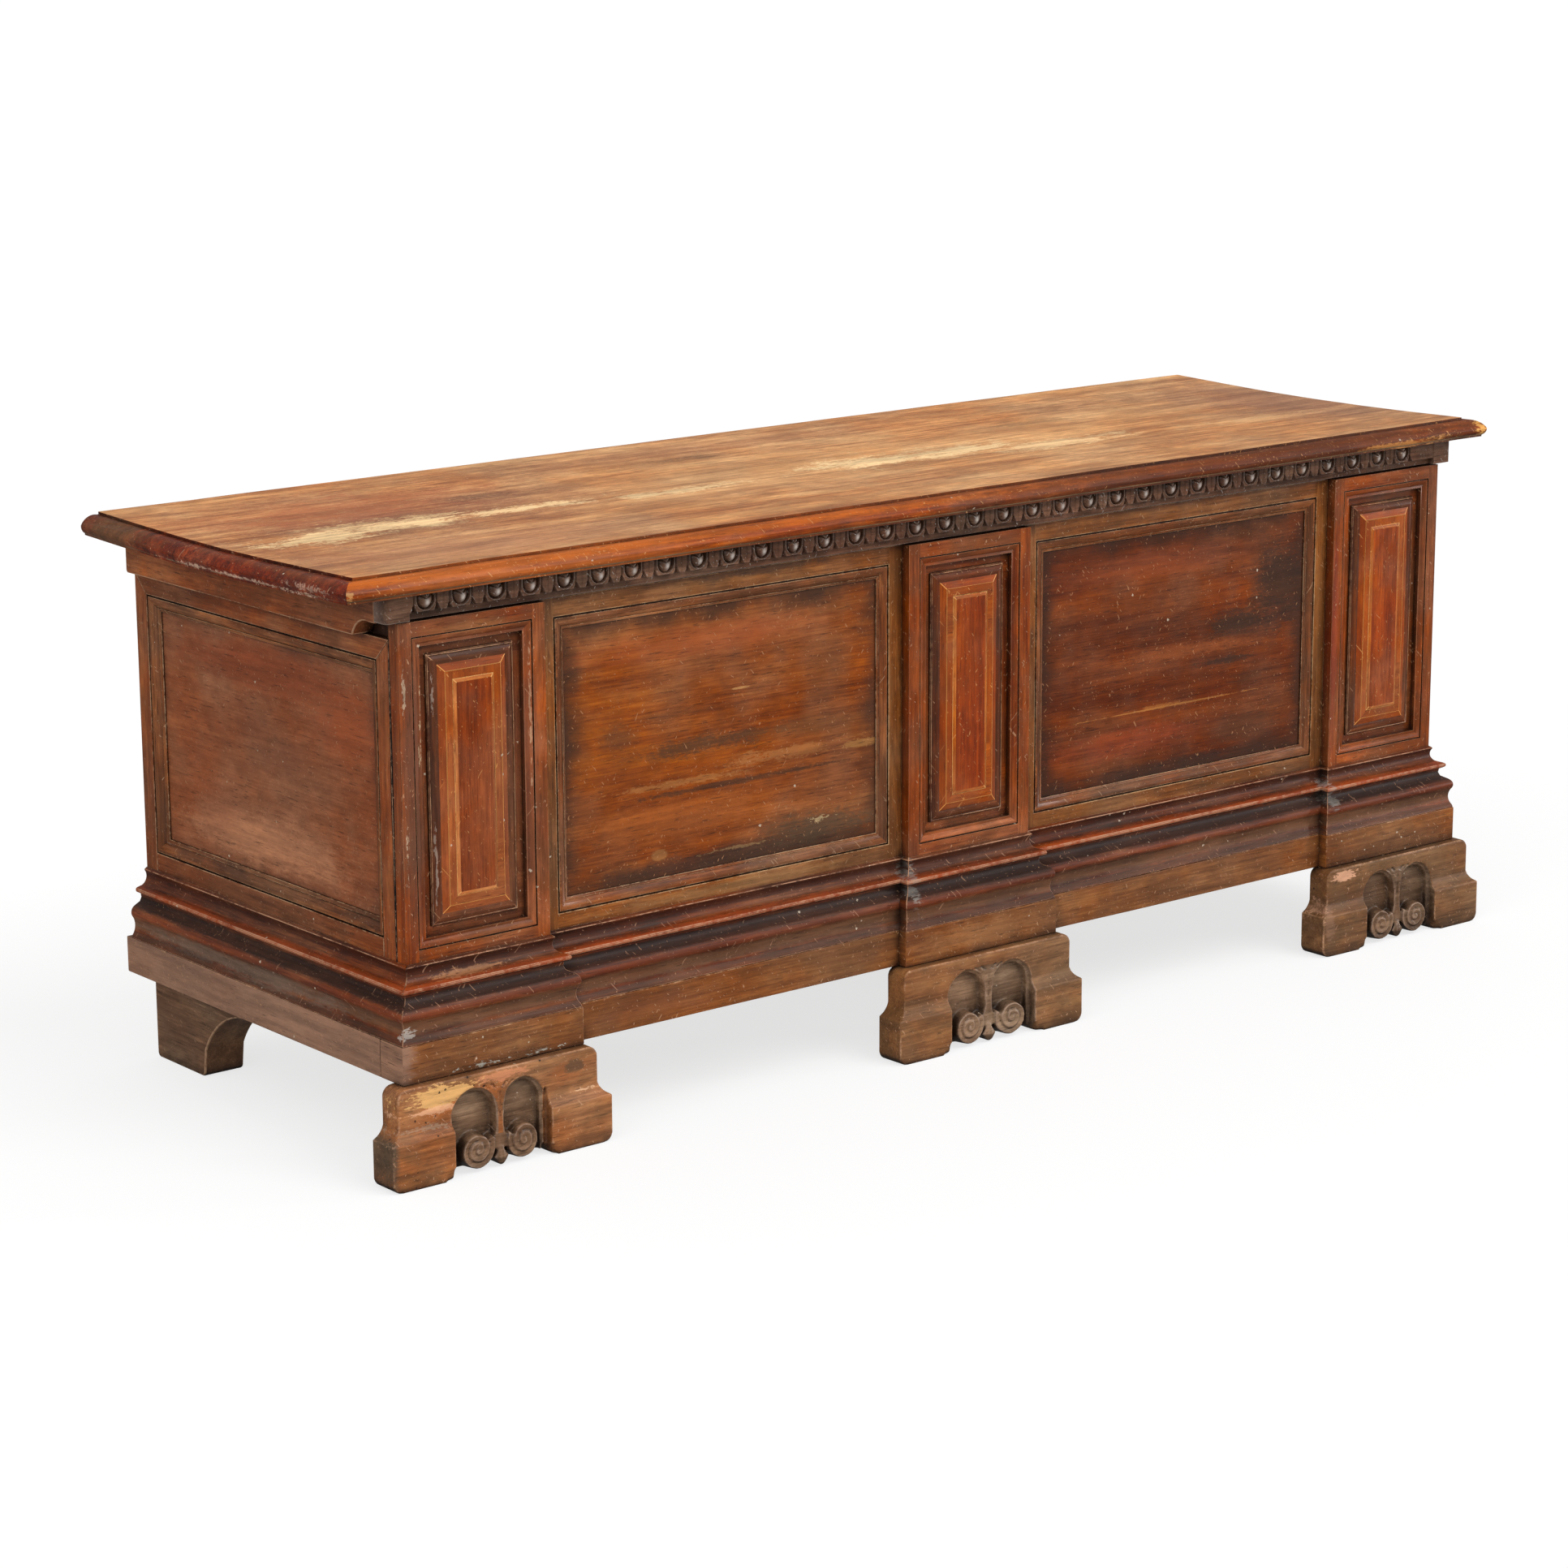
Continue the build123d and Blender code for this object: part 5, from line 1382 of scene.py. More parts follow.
@dataclass
class CarvedStrip:
    """Egg and tongue strip, carved by a relief that is worked out place by place in mm."""

    ledge: float = 8.0
    first_egg: float = 50.0
    pitch: float = 44.1
    end_block: float = 30.0
    rim_radius: float = 12.4
    socket_radius: float = 10.8
    egg_width: float = 9.5
    egg_length: float = 10.2
    egg_centre: float = 19.8
    tongue_side: float = 13.8
    least_tongue: float = 11.0
    relief: float = 8.0
    proud: float = 1.0
    rubbed_turn: float = 0.35
    cell: float = 0.8

    def nearest_egg(self, x: float, count: int) -> tuple[int, float]:
        """Finds the egg that a place belongs to.

        Args:
            x: Distance from the strip's left end.
            count: How many eggs the strip has.

        Returns:
            The egg's number, and the distance from its middle.
        """
        egg = min(max(round((x - self.first_egg) / self.pitch), 0), count - 1)
        return egg, x - self.first_egg - egg * self.pitch

    def egg(self, across: float, up: float, chance: random.Random) -> float:
        """Height of an egg over its socket.

        Args:
            across: Distance from the egg's middle along the strip.
            up: Distance above the egg's middle.
            chance: The carver's unevenness at this egg.

        Returns:
            The height in mm, or 0 outside the egg.
        """
        width = self.egg_width * (1.0 + 0.05 * chance.uniform(-1, 1)) * (1 + 0.012 * up)
        length = self.egg_length * (1.0 + 0.05 * chance.uniform(-1, 1))
        spread = (across / width) ** 2 + (up / length) ** 2
        if spread >= 1:
            return 0.0
        leaf = up - 1.0 - abs(across) * (0.8 + 0.2 * chance.uniform(-1, 1))
        return 8.4 * math.sqrt(1 - spread) - 1.9 * math.exp(-(leaf / 0.9) ** 2)

    def height(self, x: float, z: float, count: int, length: float) -> float:
        """Height of the carving over its ground.

        Args:
            x: Distance from the strip's left end.
            z: Distance above its lower edge.
            count: How many eggs it has.
            length: The strip's length.

        Returns:
            The height in mm.
        """
        edge = min(x, length - x)
        if edge < self.end_block:
            return self.relief - 4.0 * (1 - math.sqrt(max(0.0, 1 - max(0.0, 1 - edge / 4) ** 2)))
        if z < self.ledge:
            return 0.4 * smooth_step(z, 0.0, 1.0)
        egg, across = self.nearest_egg(x, count)
        centre = self.ledge + self.rim_radius
        radius = math.hypot(across, z - centre) if z < centre else abs(across)
        chance = random.Random(egg)
        shift = chance.uniform(-0.6, 0.6)
        if radius < self.rim_radius:
            floor = 2.4 + 1.0 * (radius / self.socket_radius) ** 2
            rim = self.relief - 0.8 * ((radius - 11.6) / 0.8) ** 2
            wall = smooth_step(radius, self.socket_radius - 0.9, self.socket_radius + 0.2)
            ground = floor + (rim - floor) * wall
            egg_top = self.egg(across - shift, z - self.egg_centre, chance)
            return max(ground, 1.4 + egg_top if egg_top > 0 else 0.0)
        beside = abs(across)
        notch = 3.6 * (1 - (z - self.ledge) / (7.0 + shift)) - abs(beside - 14.6)
        deep = smooth_step(notch, -0.4, 0.8)
        line = math.exp(-((beside - self.tongue_side) / 0.7) ** 2)
        step = 0.9 * smooth_step(-across - self.tongue_side - 3.0, -0.4, 0.4)
        face = self.relief - 0.9 + step * 0.8 - 1.6 * line
        return face + (0.7 - face) * deep

    def build(self) -> bpy.types.Object:
        """Carves the strip.

        Returns:
            The finished object.
        """
        low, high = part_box("lid_front_strip")
        length, tall = (high.x - low.x) / MM, (high.z - low.z) / MM
        most = self.relief + self.proud
        ground = low.y + most * MM
        count = int((length - self.first_egg - self.end_block - self.pitch / 2
                     - self.least_tongue / 2) / self.pitch) + 1
        piece = Piece("lid_front_strip_carved", (STRIP,), "dark_carving", "lid",
                      one_board(Grain.ALONG_X))
        mesh = piece.mesh
        bmesh.ops.create_grid(mesh, x_segments=int(length / self.cell),
                              y_segments=int(tall / self.cell), size=0.5)
        for vertex in mesh.verts:
            x = (vertex.co.x + 0.5) * length
            z = (vertex.co.y + 0.5) * tall
            rise = self.height(x, z, count, length)
            rise += 0.25 * noise.noise(Vector((x * 0.11, z * 0.11, 3.0)))
            rise = min(max(rise, 0.0), most)
            vertex.co = (low.x + x * MM, ground - rise * MM, low.z + z * MM)
        close_back(mesh, high.y)
        piece.mark_turns(self.rubbed_turn)
        self.paint_egg_highlights(piece, low, count)
        return piece.finish(["lid_front_strip"], smooth_angle=50.0)

    def paint_egg_highlights(self, piece: Piece, low: Vector, count: int) -> None:
        """Paints highlights on the crowns of the eggs through the rubbed-edge mask, and weakens
        their hollow shade.

        Args:
            piece: The carved piece.
            low: The lowest corner of its box.
            count: How many eggs it has.
        """
        edge = piece.mesh.loops.layers.float["edge"]
        hollow = piece.mesh.loops.layers.float["hollow"]
        for vertex in piece.mesh.verts:
            x, z = (vertex.co.x - low.x) / MM, (vertex.co.z - low.z) / MM
            across = (self.nearest_egg(x, count)[1] - 1.4) / 2.6
            up = (z - self.egg_centre + 2.6) / 3.6
            # Painted highlight on each egg's lower crown.
            crown = math.exp(-across * across - up * up)
            for loop in vertex.link_loops:
                loop[edge] = max(0.4 * loop[edge], crown)
                loop[hollow] *= 0.45


# ---------------------------------------------------------------- front
@dataclass
class Front:
    """The panelled front: its board, two panel frames and three pilasters."""

    stile: float = 20.0 * MM
    rail_foot: float = 16.5 * MM
    rail_head: float = 21.0 * MM
    sill: float = 229.5 * MM
    head: float = 590.0 * MM
    pilaster_edge: float = 16.0 * MM
    pilaster_foot: float = 12.5 * MM
    panel_rings: tuple[float, ...] = (12.0, 28.0, 33.5)
    field_board: int = 9

    def build(self) -> None:
        """Builds and dresses the pieces of the front."""
        self.build_panels()
        for name in ("left", "centre", "right"):
            self.build_pilaster(name)

    def build_panels(self) -> None:
        """The front board with the frames and mouldings of its two panels."""
        def zone(centre: Vector, normal: Vector) -> int:
            """Polished outside, left and right, and bare inside."""
            return int(centre.x > 0) if normal.y < -0.3 else 2

        Timber("front_board", (PANEL_LEFT, PANEL_RIGHT, CARCASS), "panel_walnut",
               one_board(Grain.ALONG_X), zone, cuts=((0, 0.0),), slices=((0, 0.09),)).build()
        for side in ("left", "right"):
            low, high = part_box(f"panel_frame_{side}")
            opening = (low.x + self.stile, high.x - self.stile,
                       self.sill + self.rail_foot, self.head - self.rail_head)
            Timber(f"panel_frame_{side}", (FRAME,), "frame_walnut", framed(0, *opening),
                   cuts=((0, opening[0]), (0, opening[1])), slices=((2, 0.06), (0, 0.06))).build()
            Timber(f"panel_moulding_{side}", (MOULDING,), "moulding_walnut",
                   framed(0, *opening), arris=0.5 * MM, slices=((0, 0.06), (2, 0.06))).build()

    def build_pilaster(self, name: str) -> None:
        """One pilaster: frame, fielded panel and inlay band.

        Args:
            name: The pilaster's place along the front.
        """
        low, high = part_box(f"pilaster_frame_{name}")
        recess = (low.x + self.pilaster_edge, high.x - self.pilaster_edge,
                  self.sill + self.pilaster_foot, self.head - self.pilaster_edge)
        Timber(f"pilaster_frame_{name}", (PILASTER,), "frame_walnut", framed(0, *recess),
               arris=1.0 * MM, cuts=((0, recess[0]), (0, recess[1])),
               slices=((2, 0.05),)).build()
        left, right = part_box(f"pilaster_panel_{name}")

        def zone(centre: Vector, normal: Vector) -> int:
            """Margin, bevel, step or field, from the outside in."""
            inset = min(centre.x - left.x, right.x - centre.x,
                        centre.z - left.z, right.z - centre.z)
            return sum(inset > start * MM for start in self.panel_rings)

        ring = framed(0, left.x, right.x, left.z, right.z)

        def grain(centre: Vector, normal: Vector) -> tuple[Grain, int]:
            """Upright in the field, and along the sides of the margin."""
            if zone(centre, normal) == len(self.panel_rings):
                return Grain.ALONG_Z, self.field_board
            return ring(centre, normal)

        Timber(f"pilaster_panel_{name}",
               (PILASTER_MARGIN, PILASTER_BEVEL, FIELD_STEP, PILASTER_FIELD), "panel_walnut",
               grain, zone, arris=0.5 * MM, slices=((2, 0.05),)).build()
        Timber(f"pilaster_inlay_{name}", (INLAY,), "inlay_wood", ring, arris=0.2 * MM,
               slices=((2, 0.05),)).build()


# ---------------------------------------------------------------- ends
@dataclass
class End:
    """One end of the chest: the side board with its applied frame and moulding."""

    side: str

    def build(self) -> None:
        """Builds and dresses the pieces of the end."""
        outward = -1.0 if self.side == "left" else 1.0

        def zone(centre: Vector, normal: Vector) -> int:
            """Polished outside, bare inside."""
            return 0 if normal.x * outward > 0.5 else 1

        Timber(f"side_board_{self.side}", (END_PANEL, CARCASS), "panel_walnut",
               one_board(Grain.ALONG_Y), zone).build()
        for part, grain, axis in (("top_rail", Grain.ALONG_Y, 1), ("bottom_rail", Grain.ALONG_Y, 1),
                                  ("front_stile", Grain.ALONG_Z, 2),
                                  ("rear_stile", Grain.ALONG_Z, 2)):
            Timber(f"side_{part}_{self.side}", (CLEAT,), "frame_walnut", one_board(grain),
                   slices=((axis, 0.05),)).build()
        low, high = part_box(f"side_moulding_{self.side}")
        Timber(f"side_moulding_{self.side}", (MOULDING,), "moulding_walnut",
               framed(1, low.y, high.y, low.z, high.z), arris=0.5 * MM,
               slices=((1, 0.05),)).build()


# ---------------------------------------------------------------- base
@dataclass
class Base:
    """Base moulding, plinth and the five feet."""

    def build(self) -> None:
        """Builds and dresses the pieces of the base."""
        Timber("base_moulding_front", (BASE,), "moulding_walnut", returned, arris=0.6 * MM,
               wander=0.4 * MM, slices=((0, 0.05),)).build()
        Timber("plinth_front", (PLINTH,), "plinth_walnut", returned, arris=1.5 * MM,
               wander=0.5 * MM, slices=((0, 0.05),)).build()
        for side in ("left", "right"):
            Timber(f"base_moulding_{side}", (BASE,), "moulding_walnut",
                   one_board(Grain.ALONG_Y), arris=0.6 * MM, slices=((1, 0.05),)).build()
            Timber(f"plinth_{side}", (PLINTH,), "plinth_walnut", one_board(Grain.ALONG_Y),
                   arris=1.5 * MM, slices=((1, 0.05),)).build()
            Timber(f"rear_foot_{side}", (REAR,), "foot_walnut", one_board(Grain.ALONG_Y),
                   arris=2.0 * MM).build()
        Timber("plinth_back", (PLINTH,), "plinth_walnut", one_board(Grain.ALONG_X)).build()
        for foot in (ScrollFoot("left", FOOT_LEFT, right_end=57.0, pale_stem=True),
                     ScrollFoot("centre", right_end=67.0), ScrollFoot("right", FOOT_RIGHT)):
            foot.build()


@dataclass
class ScrollFoot:
    """A stepped front foot with two arched niches, two scrolls and a leaf between them, in mm."""

    name: str
    wood: Wood = FOOT
    left_end: float = -62.0
    right_end: float = 62.0
    ordinary_end: float = 62.0
    top: float = 94.0
    lift: float = 6.0
    face_step: float = 8.0
    niche_x: float = 32.5
    niche_radius: float = 26.0
    niche_rim: float = 3.5
    arch_height: float = 63.0
    niche_depth: float = 11.0
    scroll_radius: float = 24.0
    scroll_tightness: float = 0.34
    scroll_height: float = 25.0
    scroll_x: float = 31.0
    leaf_low: float = 2.0
    leaf_half_width: float = 9.0
    fan_half_width: float = 26.0
    stem_half_width: float = 20.0
    corner_radius: float = 13.0
    pale_stem: bool = False
    rubbed_turn: float = 0.16
    wander: float = 0.7
    corner_rounds: int = 80
    cell: float = 0.9
    voxel: float = 1.2

    def ordinary(self, x: float) -> float:
        """Distance from the middle, measured on a foot of ordinary width."""
        return x * self.ordinary_end / (self.right_end if x > 0 else -self.left_end)

    def scroll(self, across: float, up: float) -> float:
        """Height of a scroll over the foot's face.

        Args:
            across: Distance from the scroll's eye, away from the foot's middle.
            up: Distance above its eye.

        Returns:
            The height in mm, far below the face outside the scroll.
        """
        radius = math.hypot(across, up)
        around = (math.atan2(up, across) / (2 * math.pi) - 0.42) % 1.0
        rim = self.scroll_radius * (1 - self.scroll_tightness * around)
        if radius > rim:
            return -99.0
        band = (rim - radius) / (self.scroll_tightness * self.scroll_radius) % 1.0
        crown = 1.8 + 2.8 * (1 - radius / self.scroll_radius)
        ridge = 1.4 * math.exp(-((band - 0.2) / 0.16) ** 2)
        channel = 2.8 * math.exp(-((band - 0.93) / 0.12) ** 2) * smooth_step(radius, 1.0, 3.0)
        fall = 5.0 * smooth_step(radius, rim - 1.0, rim)
        return crown + ridge - channel - fall

    def bottom(self, x: float) -> float:
        """Height of the carving's wavy lower edge at a distance from the foot's middle."""
        low = self.lift
        across = abs(abs(x) - self.scroll_x)
        below = self.scroll_radius * (1 - self.scroll_tightness / 3)
        if across < below:
            reach = math.sqrt(below ** 2 - across ** 2)
            low = min(low, self.scroll_height - reach)
        if abs(x) < self.leaf_half_width:
            low = min(low, self.leaf_low + 0.11 * x * x)
        return low

    def height(self, x: float, z: float) -> float:
        """Height of the carving over the foot's face.

        Args:
            x: Distance from the foot's middle.
            z: Height over the floor.

        Returns:
            The height in mm; niches lie below 0.
        """
        across = abs(x) - self.niche_x
        above = max(0.0, z - self.arch_height)
        arch = math.hypot(across, above)
        sunk = smooth_step(arch, self.niche_radius - 1.5, self.niche_radius + 0.3)
        rim = smooth_step(arch, self.niche_radius + self.niche_rim - 0.6,
                          self.niche_radius + self.niche_rim + 0.4)
        rise = -self.niche_depth + (self.niche_depth - 4.0) * sunk + 4.0 * rim
        if z > self.arch_height - 8 and abs(x) < self.fan_half_width:
            beyond = arch - self.niche_radius - self.niche_rim
            fan = sum(math.exp(-((beyond - groove) / 1.2) ** 2) for groove in (2.6, 7.6))
            rise -= 3.4 * fan * rim * smooth_step(self.fan_half_width - abs(x), 0.0, 8.0)
        width = 7.0 + 0.0055 * max(0.0, z - 52.0) ** 2 + 0.012 * max(0.0, 48.0 - z) ** 2
        stem = smooth_step(width - abs(x), -0.5, 2.2)
        crease = math.exp(-(x / 1.3) ** 2)
        if 20.0 < z < self.top - 6:
            crest = 0.6 - 0.012 * x * x - 2.0 * crease * smooth_step(self.top - 6 - z, 0.0, 8.0)
            rise = max(rise, crest * stem - 30.0 * (1 - stem))
        rise = max(rise, self.scroll(abs(x) - self.scroll_x, z - self.scroll_height))
        drop = 12.0 - abs(x) * 1.2 - abs(z - 11.0) * 0.85
        if drop > 0:
            rise = max(rise, 1.8 + 0.3 * drop - 1.6 * crease)
        return min(rise, self.face_step - 1.5)

    def carve(self, middle: float, face: float, back: float) -> bmesh.types.BMesh:
        """The carved middle of the foot as a closed block.

        Args:
            middle: The foot's middle along the chest.
            face: The depth of the foot's upper face.
            back: The depth of its back.

        Returns:
            The block's mesh.
        """
        mesh = bmesh.new()
        wide = self.right_end - self.left_end
        bmesh.ops.create_grid(mesh, x_segments=int(wide / self.cell),
                              y_segments=int((self.top - self.lift) / self.cell), size=0.5)
        shift = Vector((middle * 40, 0, 0))
        for vertex in mesh.verts:
            x = self.left_end + (vertex.co.x + 0.5) * wide
            ordinary = self.ordinary(x)
            low = self.bottom(ordinary)
            z = low + (vertex.co.y + 0.5) * (self.top - low)
            uneven = noise.noise(Vector((x * 0.07, z * 0.07, 0)) + shift)
            rise = self.height(ordinary + 0.9 * uneven, z + 0.7 * uneven) + 0.5 * uneven
            vertex.co = (middle + x * MM, face - min(rise, self.face_step) * MM, z * MM)
        close_back(mesh, back)
        return mesh

    def rest_of_block(self, solid: bpy.types.Object, middle: float) -> list[bmesh.types.BMesh]:
        """The plain block on both sides of the carved middle, and the bar above it.

        Args:
            solid: The foot's solid.
            middle: The foot's middle along the chest.

        Returns:
            Three closed meshes.
        """
        left, right = (Vector((middle + end * MM, 0, 0))
                       for end in (self.left_end, self.right_end))
        lap, east = Vector((0.5 * MM, 0, 0)), Vector((1, 0, 0))
        kept = (
            ((left + lap, east),),
            ((right - lap, -east),),
            ((Vector((0, 0, (self.top - 0.5) * MM)), Vector((0, 0, -1))),
             (right + lap, east), (left - lap, -east)),
        )
        parts = []
        for planes in kept:
            mesh = bmesh.new()
            mesh.from_mesh(solid.data)
            bmesh.ops.remove_doubles(mesh, verts=mesh.verts, dist=JOIN_DISTANCE)
            for place, outward in planes:
                rim = cut_mesh(mesh, place, outward, clear_outer=True)
                bmesh.ops.holes_fill(mesh, edges=rim)
            parts.append(mesh)
        return parts

    def fuse(self, parts: Sequence[bmesh.types.BMesh]) -> bmesh.types.BMesh:
        """Joins overlapping closed meshes into one skin of small even faces.

        Args:
            parts: The meshes, which are freed.

        Returns:
            The joined mesh.
        """
        whole = bmesh.new()
        for part in parts:
            data = write_mesh("foot part", part)
            whole.from_mesh(data)
            bpy.data.meshes.remove(data)
        data = write_mesh("foot parts", whole)
        rough = add_object("foot parts", data)
        remesh = rough.modifiers.new("One skin", "REMESH")
        remesh.mode = "VOXEL"
        remesh.voxel_size = self.voxel * MM
        graph = bpy.context.evaluated_depsgraph_get()
        skin = bpy.data.meshes.new_from_object(rough.evaluated_get(graph))
        mesh = bmesh.new()
        mesh.from_mesh(skin)
        bpy.data.objects.remove(rough)
        bpy.data.meshes.remove(data)
        bpy.data.meshes.remove(skin)
        return mesh

    def build(self) -> bpy.types.Object:
        """Builds and dresses the foot.

        Returns:
            The finished object.
        """
        node = f"front_foot_{self.name}"
        low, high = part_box(node)
        middle = (low.x + high.x) / 2
        face = low.y + self.face_step * MM
        parts = self.rest_of_block(frame["nodes"][node], middle)
        parts.append(self.carve(middle, face, high.y))

        def zone(centre: Vector, normal: Vector) -> int:
            """Carved middle or plain block."""
            x, up = self.ordinary((centre.x - middle) / MM), centre.z / MM
            above = max(0.0, up - self.arch_height)
            arch = math.hypot(abs(x) - self.niche_x, above)
            carved = arch < self.niche_radius + self.niche_rim or up < self.scroll_height + 12
            stem = abs(x) < self.stem_half_width and up < self.top - 1.0 and not self.pale_stem
            return int(abs(x) < self.ordinary_end and centre.y < high.y - 2 * MM
                       and (carved or stem))

        piece = Piece(f"{node}_carved", (self.wood, CARVING), "foot_walnut", "chest",
                      one_board(Grain.ALONG_X), zone, self.fuse(parts))
        everywhere = piece.mesh.verts[:]
        ends = (middle + self.left_end * MM, middle + self.right_end * MM)
        reach = self.corner_radius * MM
        plain = [vertex for vertex in everywhere
                 if not ends[0] - 1 * MM < vertex.co.x < ends[1] + 1 * MM
                 or vertex.co.z > (self.top + 1.0) * MM]
        corners = [vertex for vertex in everywhere
                   if vertex.co.z < reach
                   and (ends[0] - reach < vertex.co.x < ends[0] + 2 * MM
                        or ends[1] - 2 * MM < vertex.co.x < ends[1] + reach)]
        for vertices, rounds in ((everywhere, 2), (plain, 1),
                                 (corners, self.corner_rounds)):
            for _ in range(rounds):
                bmesh.ops.smooth_vert(piece.mesh, verts=vertices, factor=0.5,
                                      use_axis_x=True, use_axis_y=True, use_axis_z=True)
        piece.wander(self.wander * MM, low, high)
        piece.mark_turns(self.rubbed_turn)
        return piece.finish([node], smooth_angle=80.0)


# ---------------------------------------------------------------- carcass and hinges
@dataclass
class Carcass:
    """The unpolished boards at the back and bottom of the chest."""

    def build(self) -> None:
        """Builds and dresses the plain boards."""
        for row in ("lower", "middle", "upper"):
            Timber(f"back_board_{row}", (CARCASS,), "carcass_wood", one_board(Grain.ALONG_X),
                   arris=1.8 * MM, slices=((0, 0.12),)).build()
        for row in ("front", "middle", "back"):
            Timber(f"bottom_board_{row}", (CARCASS,), "carcass_wood", one_board(Grain.ALONG_X),
                   slices=((0, 0.12),)).build()
        for row in ("front", "back"):
            Timber(f"bottom_ledger_{row}", (CARCASS,), "carcass_wood",
                   one_board(Grain.ALONG_X)).build()


@dataclass
class Hinge:
    """An iron butt hinge: two leaves, a pin and countersunk screws."""

    side: str
    screw_radius: float = 4.0 * MM
    screw_height: float = 0.8 * MM
    screw_taper: float = 0.8
    screw_depth: float = 2.5 * MM
    screw_places: tuple[tuple[float, float], ...] = ((0.18, 0.62), (0.5, 0.30), (0.82, 0.62))

    def build(self) -> None:
        """Builds the leaves, the pin and the screws."""
        for part in ("hinge_body_leaf", "hinge_lid_leaf", "hinge_pin"):
            Timber(f"{part}_{self.side}", (IRON,), "wrought_iron", one_board(Grain.ALONG_X),
                   arris=0.3 * MM, wander=0.0).build()
        low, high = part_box(f"hinge_body_leaf_{self.side}")
        for index, (along, up) in enumerate(self.screw_places):
            place = Vector((low.x + (high.x - low.x) * along, low.y + self.screw_depth,
                            low.z + (high.z - low.z) * up))
            self.build_screw(index, place)

    def build_screw(self, index: int, place: Vector) -> None:
        """One screw head, standing a little over the leaf.

        Args:
            index: The screw's number on its leaf.
            place: The middle of its head.
        """
        piece = Piece(f"hinge_screw_{self.side}_{index}", (IRON,), "wrought_iron", "chest",
                      one_board(Grain.ALONG_X))
        mesh = piece.mesh
        bmesh.ops.create_circle(mesh, cap_ends=True, radius=self.screw_radius, segments=20)
        bmesh.ops.rotate(mesh, verts=mesh.verts, cent=(0, 0, 0),
                         matrix=Vector((0, 0, 1)).rotation_difference(
                             Vector((0, 1, 0))).to_matrix())
        grown = bmesh.ops.extrude_face_region(mesh, geom=mesh.faces[:])["geom"]
        raised = [item for item in grown if isinstance(item, bmesh.types.BMVert)]
        bmesh.ops.translate(mesh, verts=raised, vec=(0, self.screw_height, 0))
        bmesh.ops.scale(mesh, verts=raised, vec=(self.screw_taper, 1.0, self.screw_taper))
        bmesh.ops.translate(mesh, verts=mesh.verts, vec=place)
        bmesh.ops.recalc_face_normals(mesh, faces=mesh.faces)
        piece.finish([])


# ---------------------------------------------------------------- stage
WHITE = (1.0, 1.0, 1.0, 1.0)


def light_paths(graph: Graph) -> tuple[Socket, Socket]:
    """Tells the rays apart that reach the floor or the sky.

    Args:
        graph: The shader's graph.

    Returns:
        1 for rays that the camera sees directly, and 1 for rays that a polish mirrors.
    """
    paths = graph.add("LightPath").outputs
    seen = graph.math("MAXIMUM", paths["Is Camera Ray"], paths["Is Transmission Ray"])
    return seen, paths["Is Glossy Ray"]


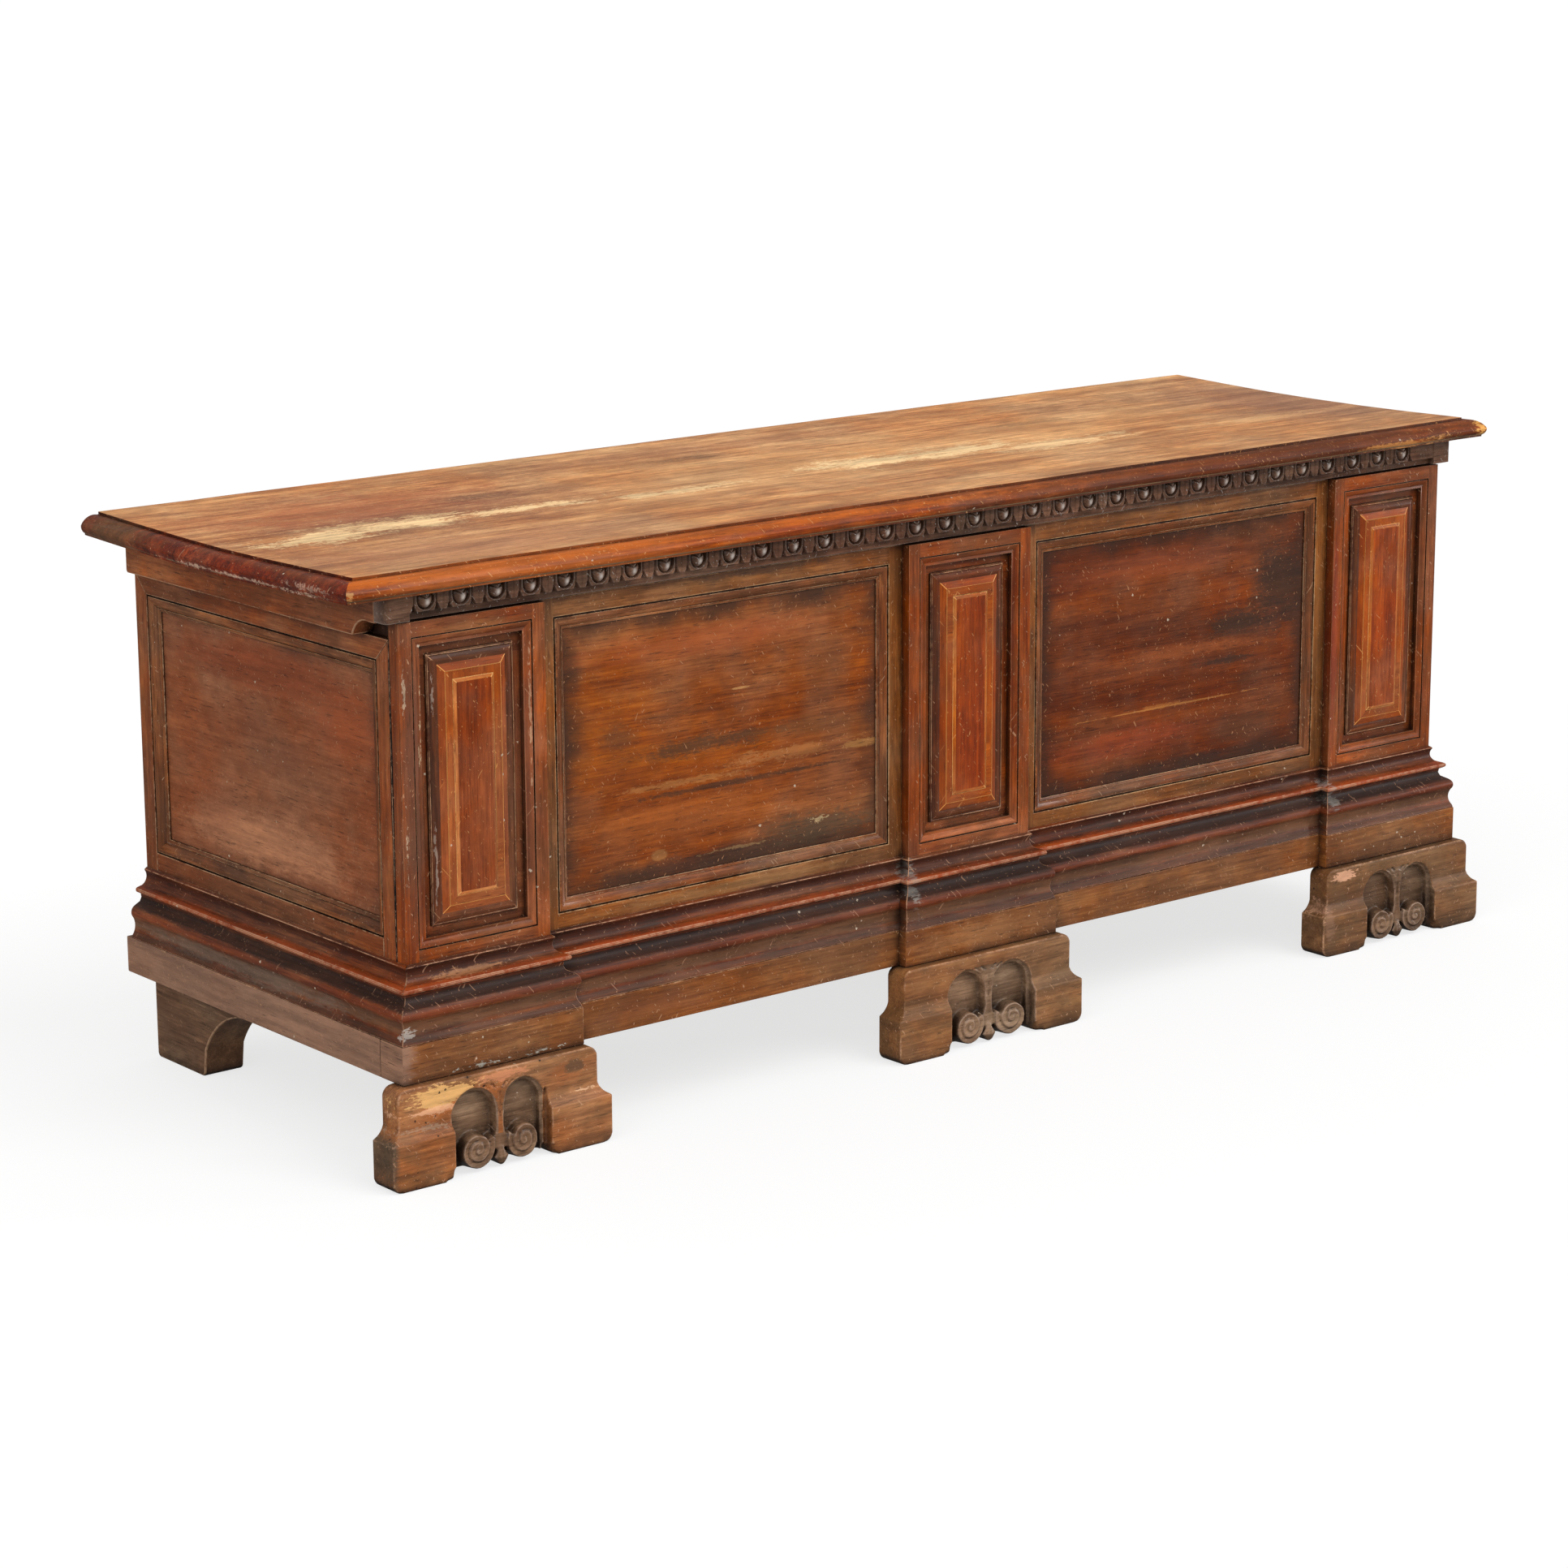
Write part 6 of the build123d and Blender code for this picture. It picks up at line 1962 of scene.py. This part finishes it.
@dataclass
class Studio:
    """A pale floor, soft even light and the camera that looks at the chest's corner."""

    camera_place: Place = (-3.0535, -3.6802, 1.4163)
    yaw: float = -38.984
    pitch: float = 13.643
    roll: float = -0.279
    lens: float = 94.35
    key_strength: float = 1.2
    fill_strength: float = 1.0
    glint_strength: float = 0.6
    sky_strength: float = 0.56
    mirrored_sky: float = 0.22
    mirrored_floor: float = 0.11
    floor_size: float = 120.0
    floor_colour: tuple[float, ...] = (0.62, 0.61, 0.60, 1.0)
    shaded_colour: tuple[float, ...] = (0.30, 0.30, 0.30, 1.0)
    floor_glow: float = 0.72

    def build(self) -> None:
        """Sets the floor, light, background and camera."""
        self.build_floor()
        self.build_sky()
        self.build_lamps()
        self.build_camera()
        bpy.context.scene.view_settings.view_transform = "Standard"

    def build_floor(self) -> None:
        """A white floor that keeps a faint shadow."""
        mesh = bmesh.new()
        bmesh.ops.create_grid(mesh, x_segments=1, y_segments=1, size=self.floor_size)
        floor = add_object("floor", write_mesh("floor", mesh))
        material, graph = start_material("pale floor")
        seen, glossy = light_paths(graph)
        plain = graph.add("BsdfDiffuse", {"Color": self.floor_colour})
        mirrored = graph.add("Emission", {"Strength": self.mirrored_floor})
        hidden = graph.add("MixShader", {0: glossy, 1: plain.outputs[0], 2: mirrored.outputs[0]})
        shaded = graph.add("BsdfDiffuse", {"Color": self.shaded_colour})
        glow = graph.add("Emission", {"Color": WHITE, "Strength": self.floor_glow})
        pale = graph.add("AddShader", {0: shaded.outputs[0], 1: glow.outputs[0]})
        both = graph.add("MixShader", {0: seen, 1: hidden.outputs[0], 2: pale.outputs[0]})
        graph.end("OutputMaterial", both.outputs[0])
        floor.data.materials.append(material)

    def build_sky(self) -> None:
        """An even sky that is seen as white and lights the chest more gently."""
        world = bpy.data.worlds.new("studio")
        bpy.context.scene.world = world
        world.use_nodes = True
        world.node_tree.nodes.clear()
        graph = Graph(world.node_tree)
        seen, glossy = light_paths(graph)
        strength = graph.times_plus(seen, 1.0 - self.sky_strength, self.sky_strength)
        dimmer = graph.times(glossy, self.sky_strength - self.mirrored_sky)
        strength = graph.math("SUBTRACT", strength, dimmer)
        sky = graph.add("Background", {"Color": WHITE, "Strength": strength})
        graph.end("OutputWorld", sky.outputs[0])

    def build_lamps(self) -> None:
        """Two broad lights, and a small one whose glint shows the polish."""
        for name, energy, angle, aim in (
            ("key", self.key_strength, 40.0, (-0.25, 0.62, -0.74)),
            ("fill", self.fill_strength, 60.0, (0.75, 0.45, -0.48)),
            ("glint", self.glint_strength, 5.0, (-0.88, 0.46, -0.10)),
        ):
            light = bpy.data.lights.new(name, "SUN")
            light.energy = energy
            light.angle = math.radians(angle)
            lamp = add_object(name, light)
            lamp.rotation_euler = Vector(aim).to_track_quat("-Z", "Y").to_euler()

    def build_camera(self) -> None:
        """The camera, turned by its yaw, pitch and roll."""
        data = bpy.data.cameras.new("camera")
        data.lens = self.lens
        data.sensor_width = 36.0
        data.clip_end = 500.0
        camera = add_object("camera", data)
        camera.location = self.camera_place
        yaw, pitch, roll = (math.radians(angle) for angle in (self.yaw, self.pitch, self.roll))
        ahead = Vector((-math.sin(yaw) * math.cos(pitch), math.cos(yaw) * math.cos(pitch),
                        -math.sin(pitch)))
        level = Vector((math.cos(yaw), math.sin(yaw), 0.0))
        above = level.cross(ahead)
        right = level * math.cos(roll) + above * math.sin(roll)
        up = above * math.cos(roll) - level * math.sin(roll)
        turned = camera.matrix_world.to_3x3()
        turned.col[0], turned.col[1], turned.col[2] = right, up, -ahead
        camera.rotation_euler = turned.to_euler()
        bpy.context.scene.camera = camera


def main() -> None:
    """Builds the chest's sub-assemblies and its studio."""
    logging.basicConfig(level=logging.INFO, format="%(name)s %(message)s")
    noise.seed_set(NOISE_SEED)
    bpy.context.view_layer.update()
    for assembly in (Lid(), Front(), End("left"), End("right"), Base(), Carcass(),
                     Hinge("left"), Hinge("right"), Studio()):
        assembly.build()
        log.info("%s is done", type(assembly).__name__)


if __name__ == "__main__":
    main()
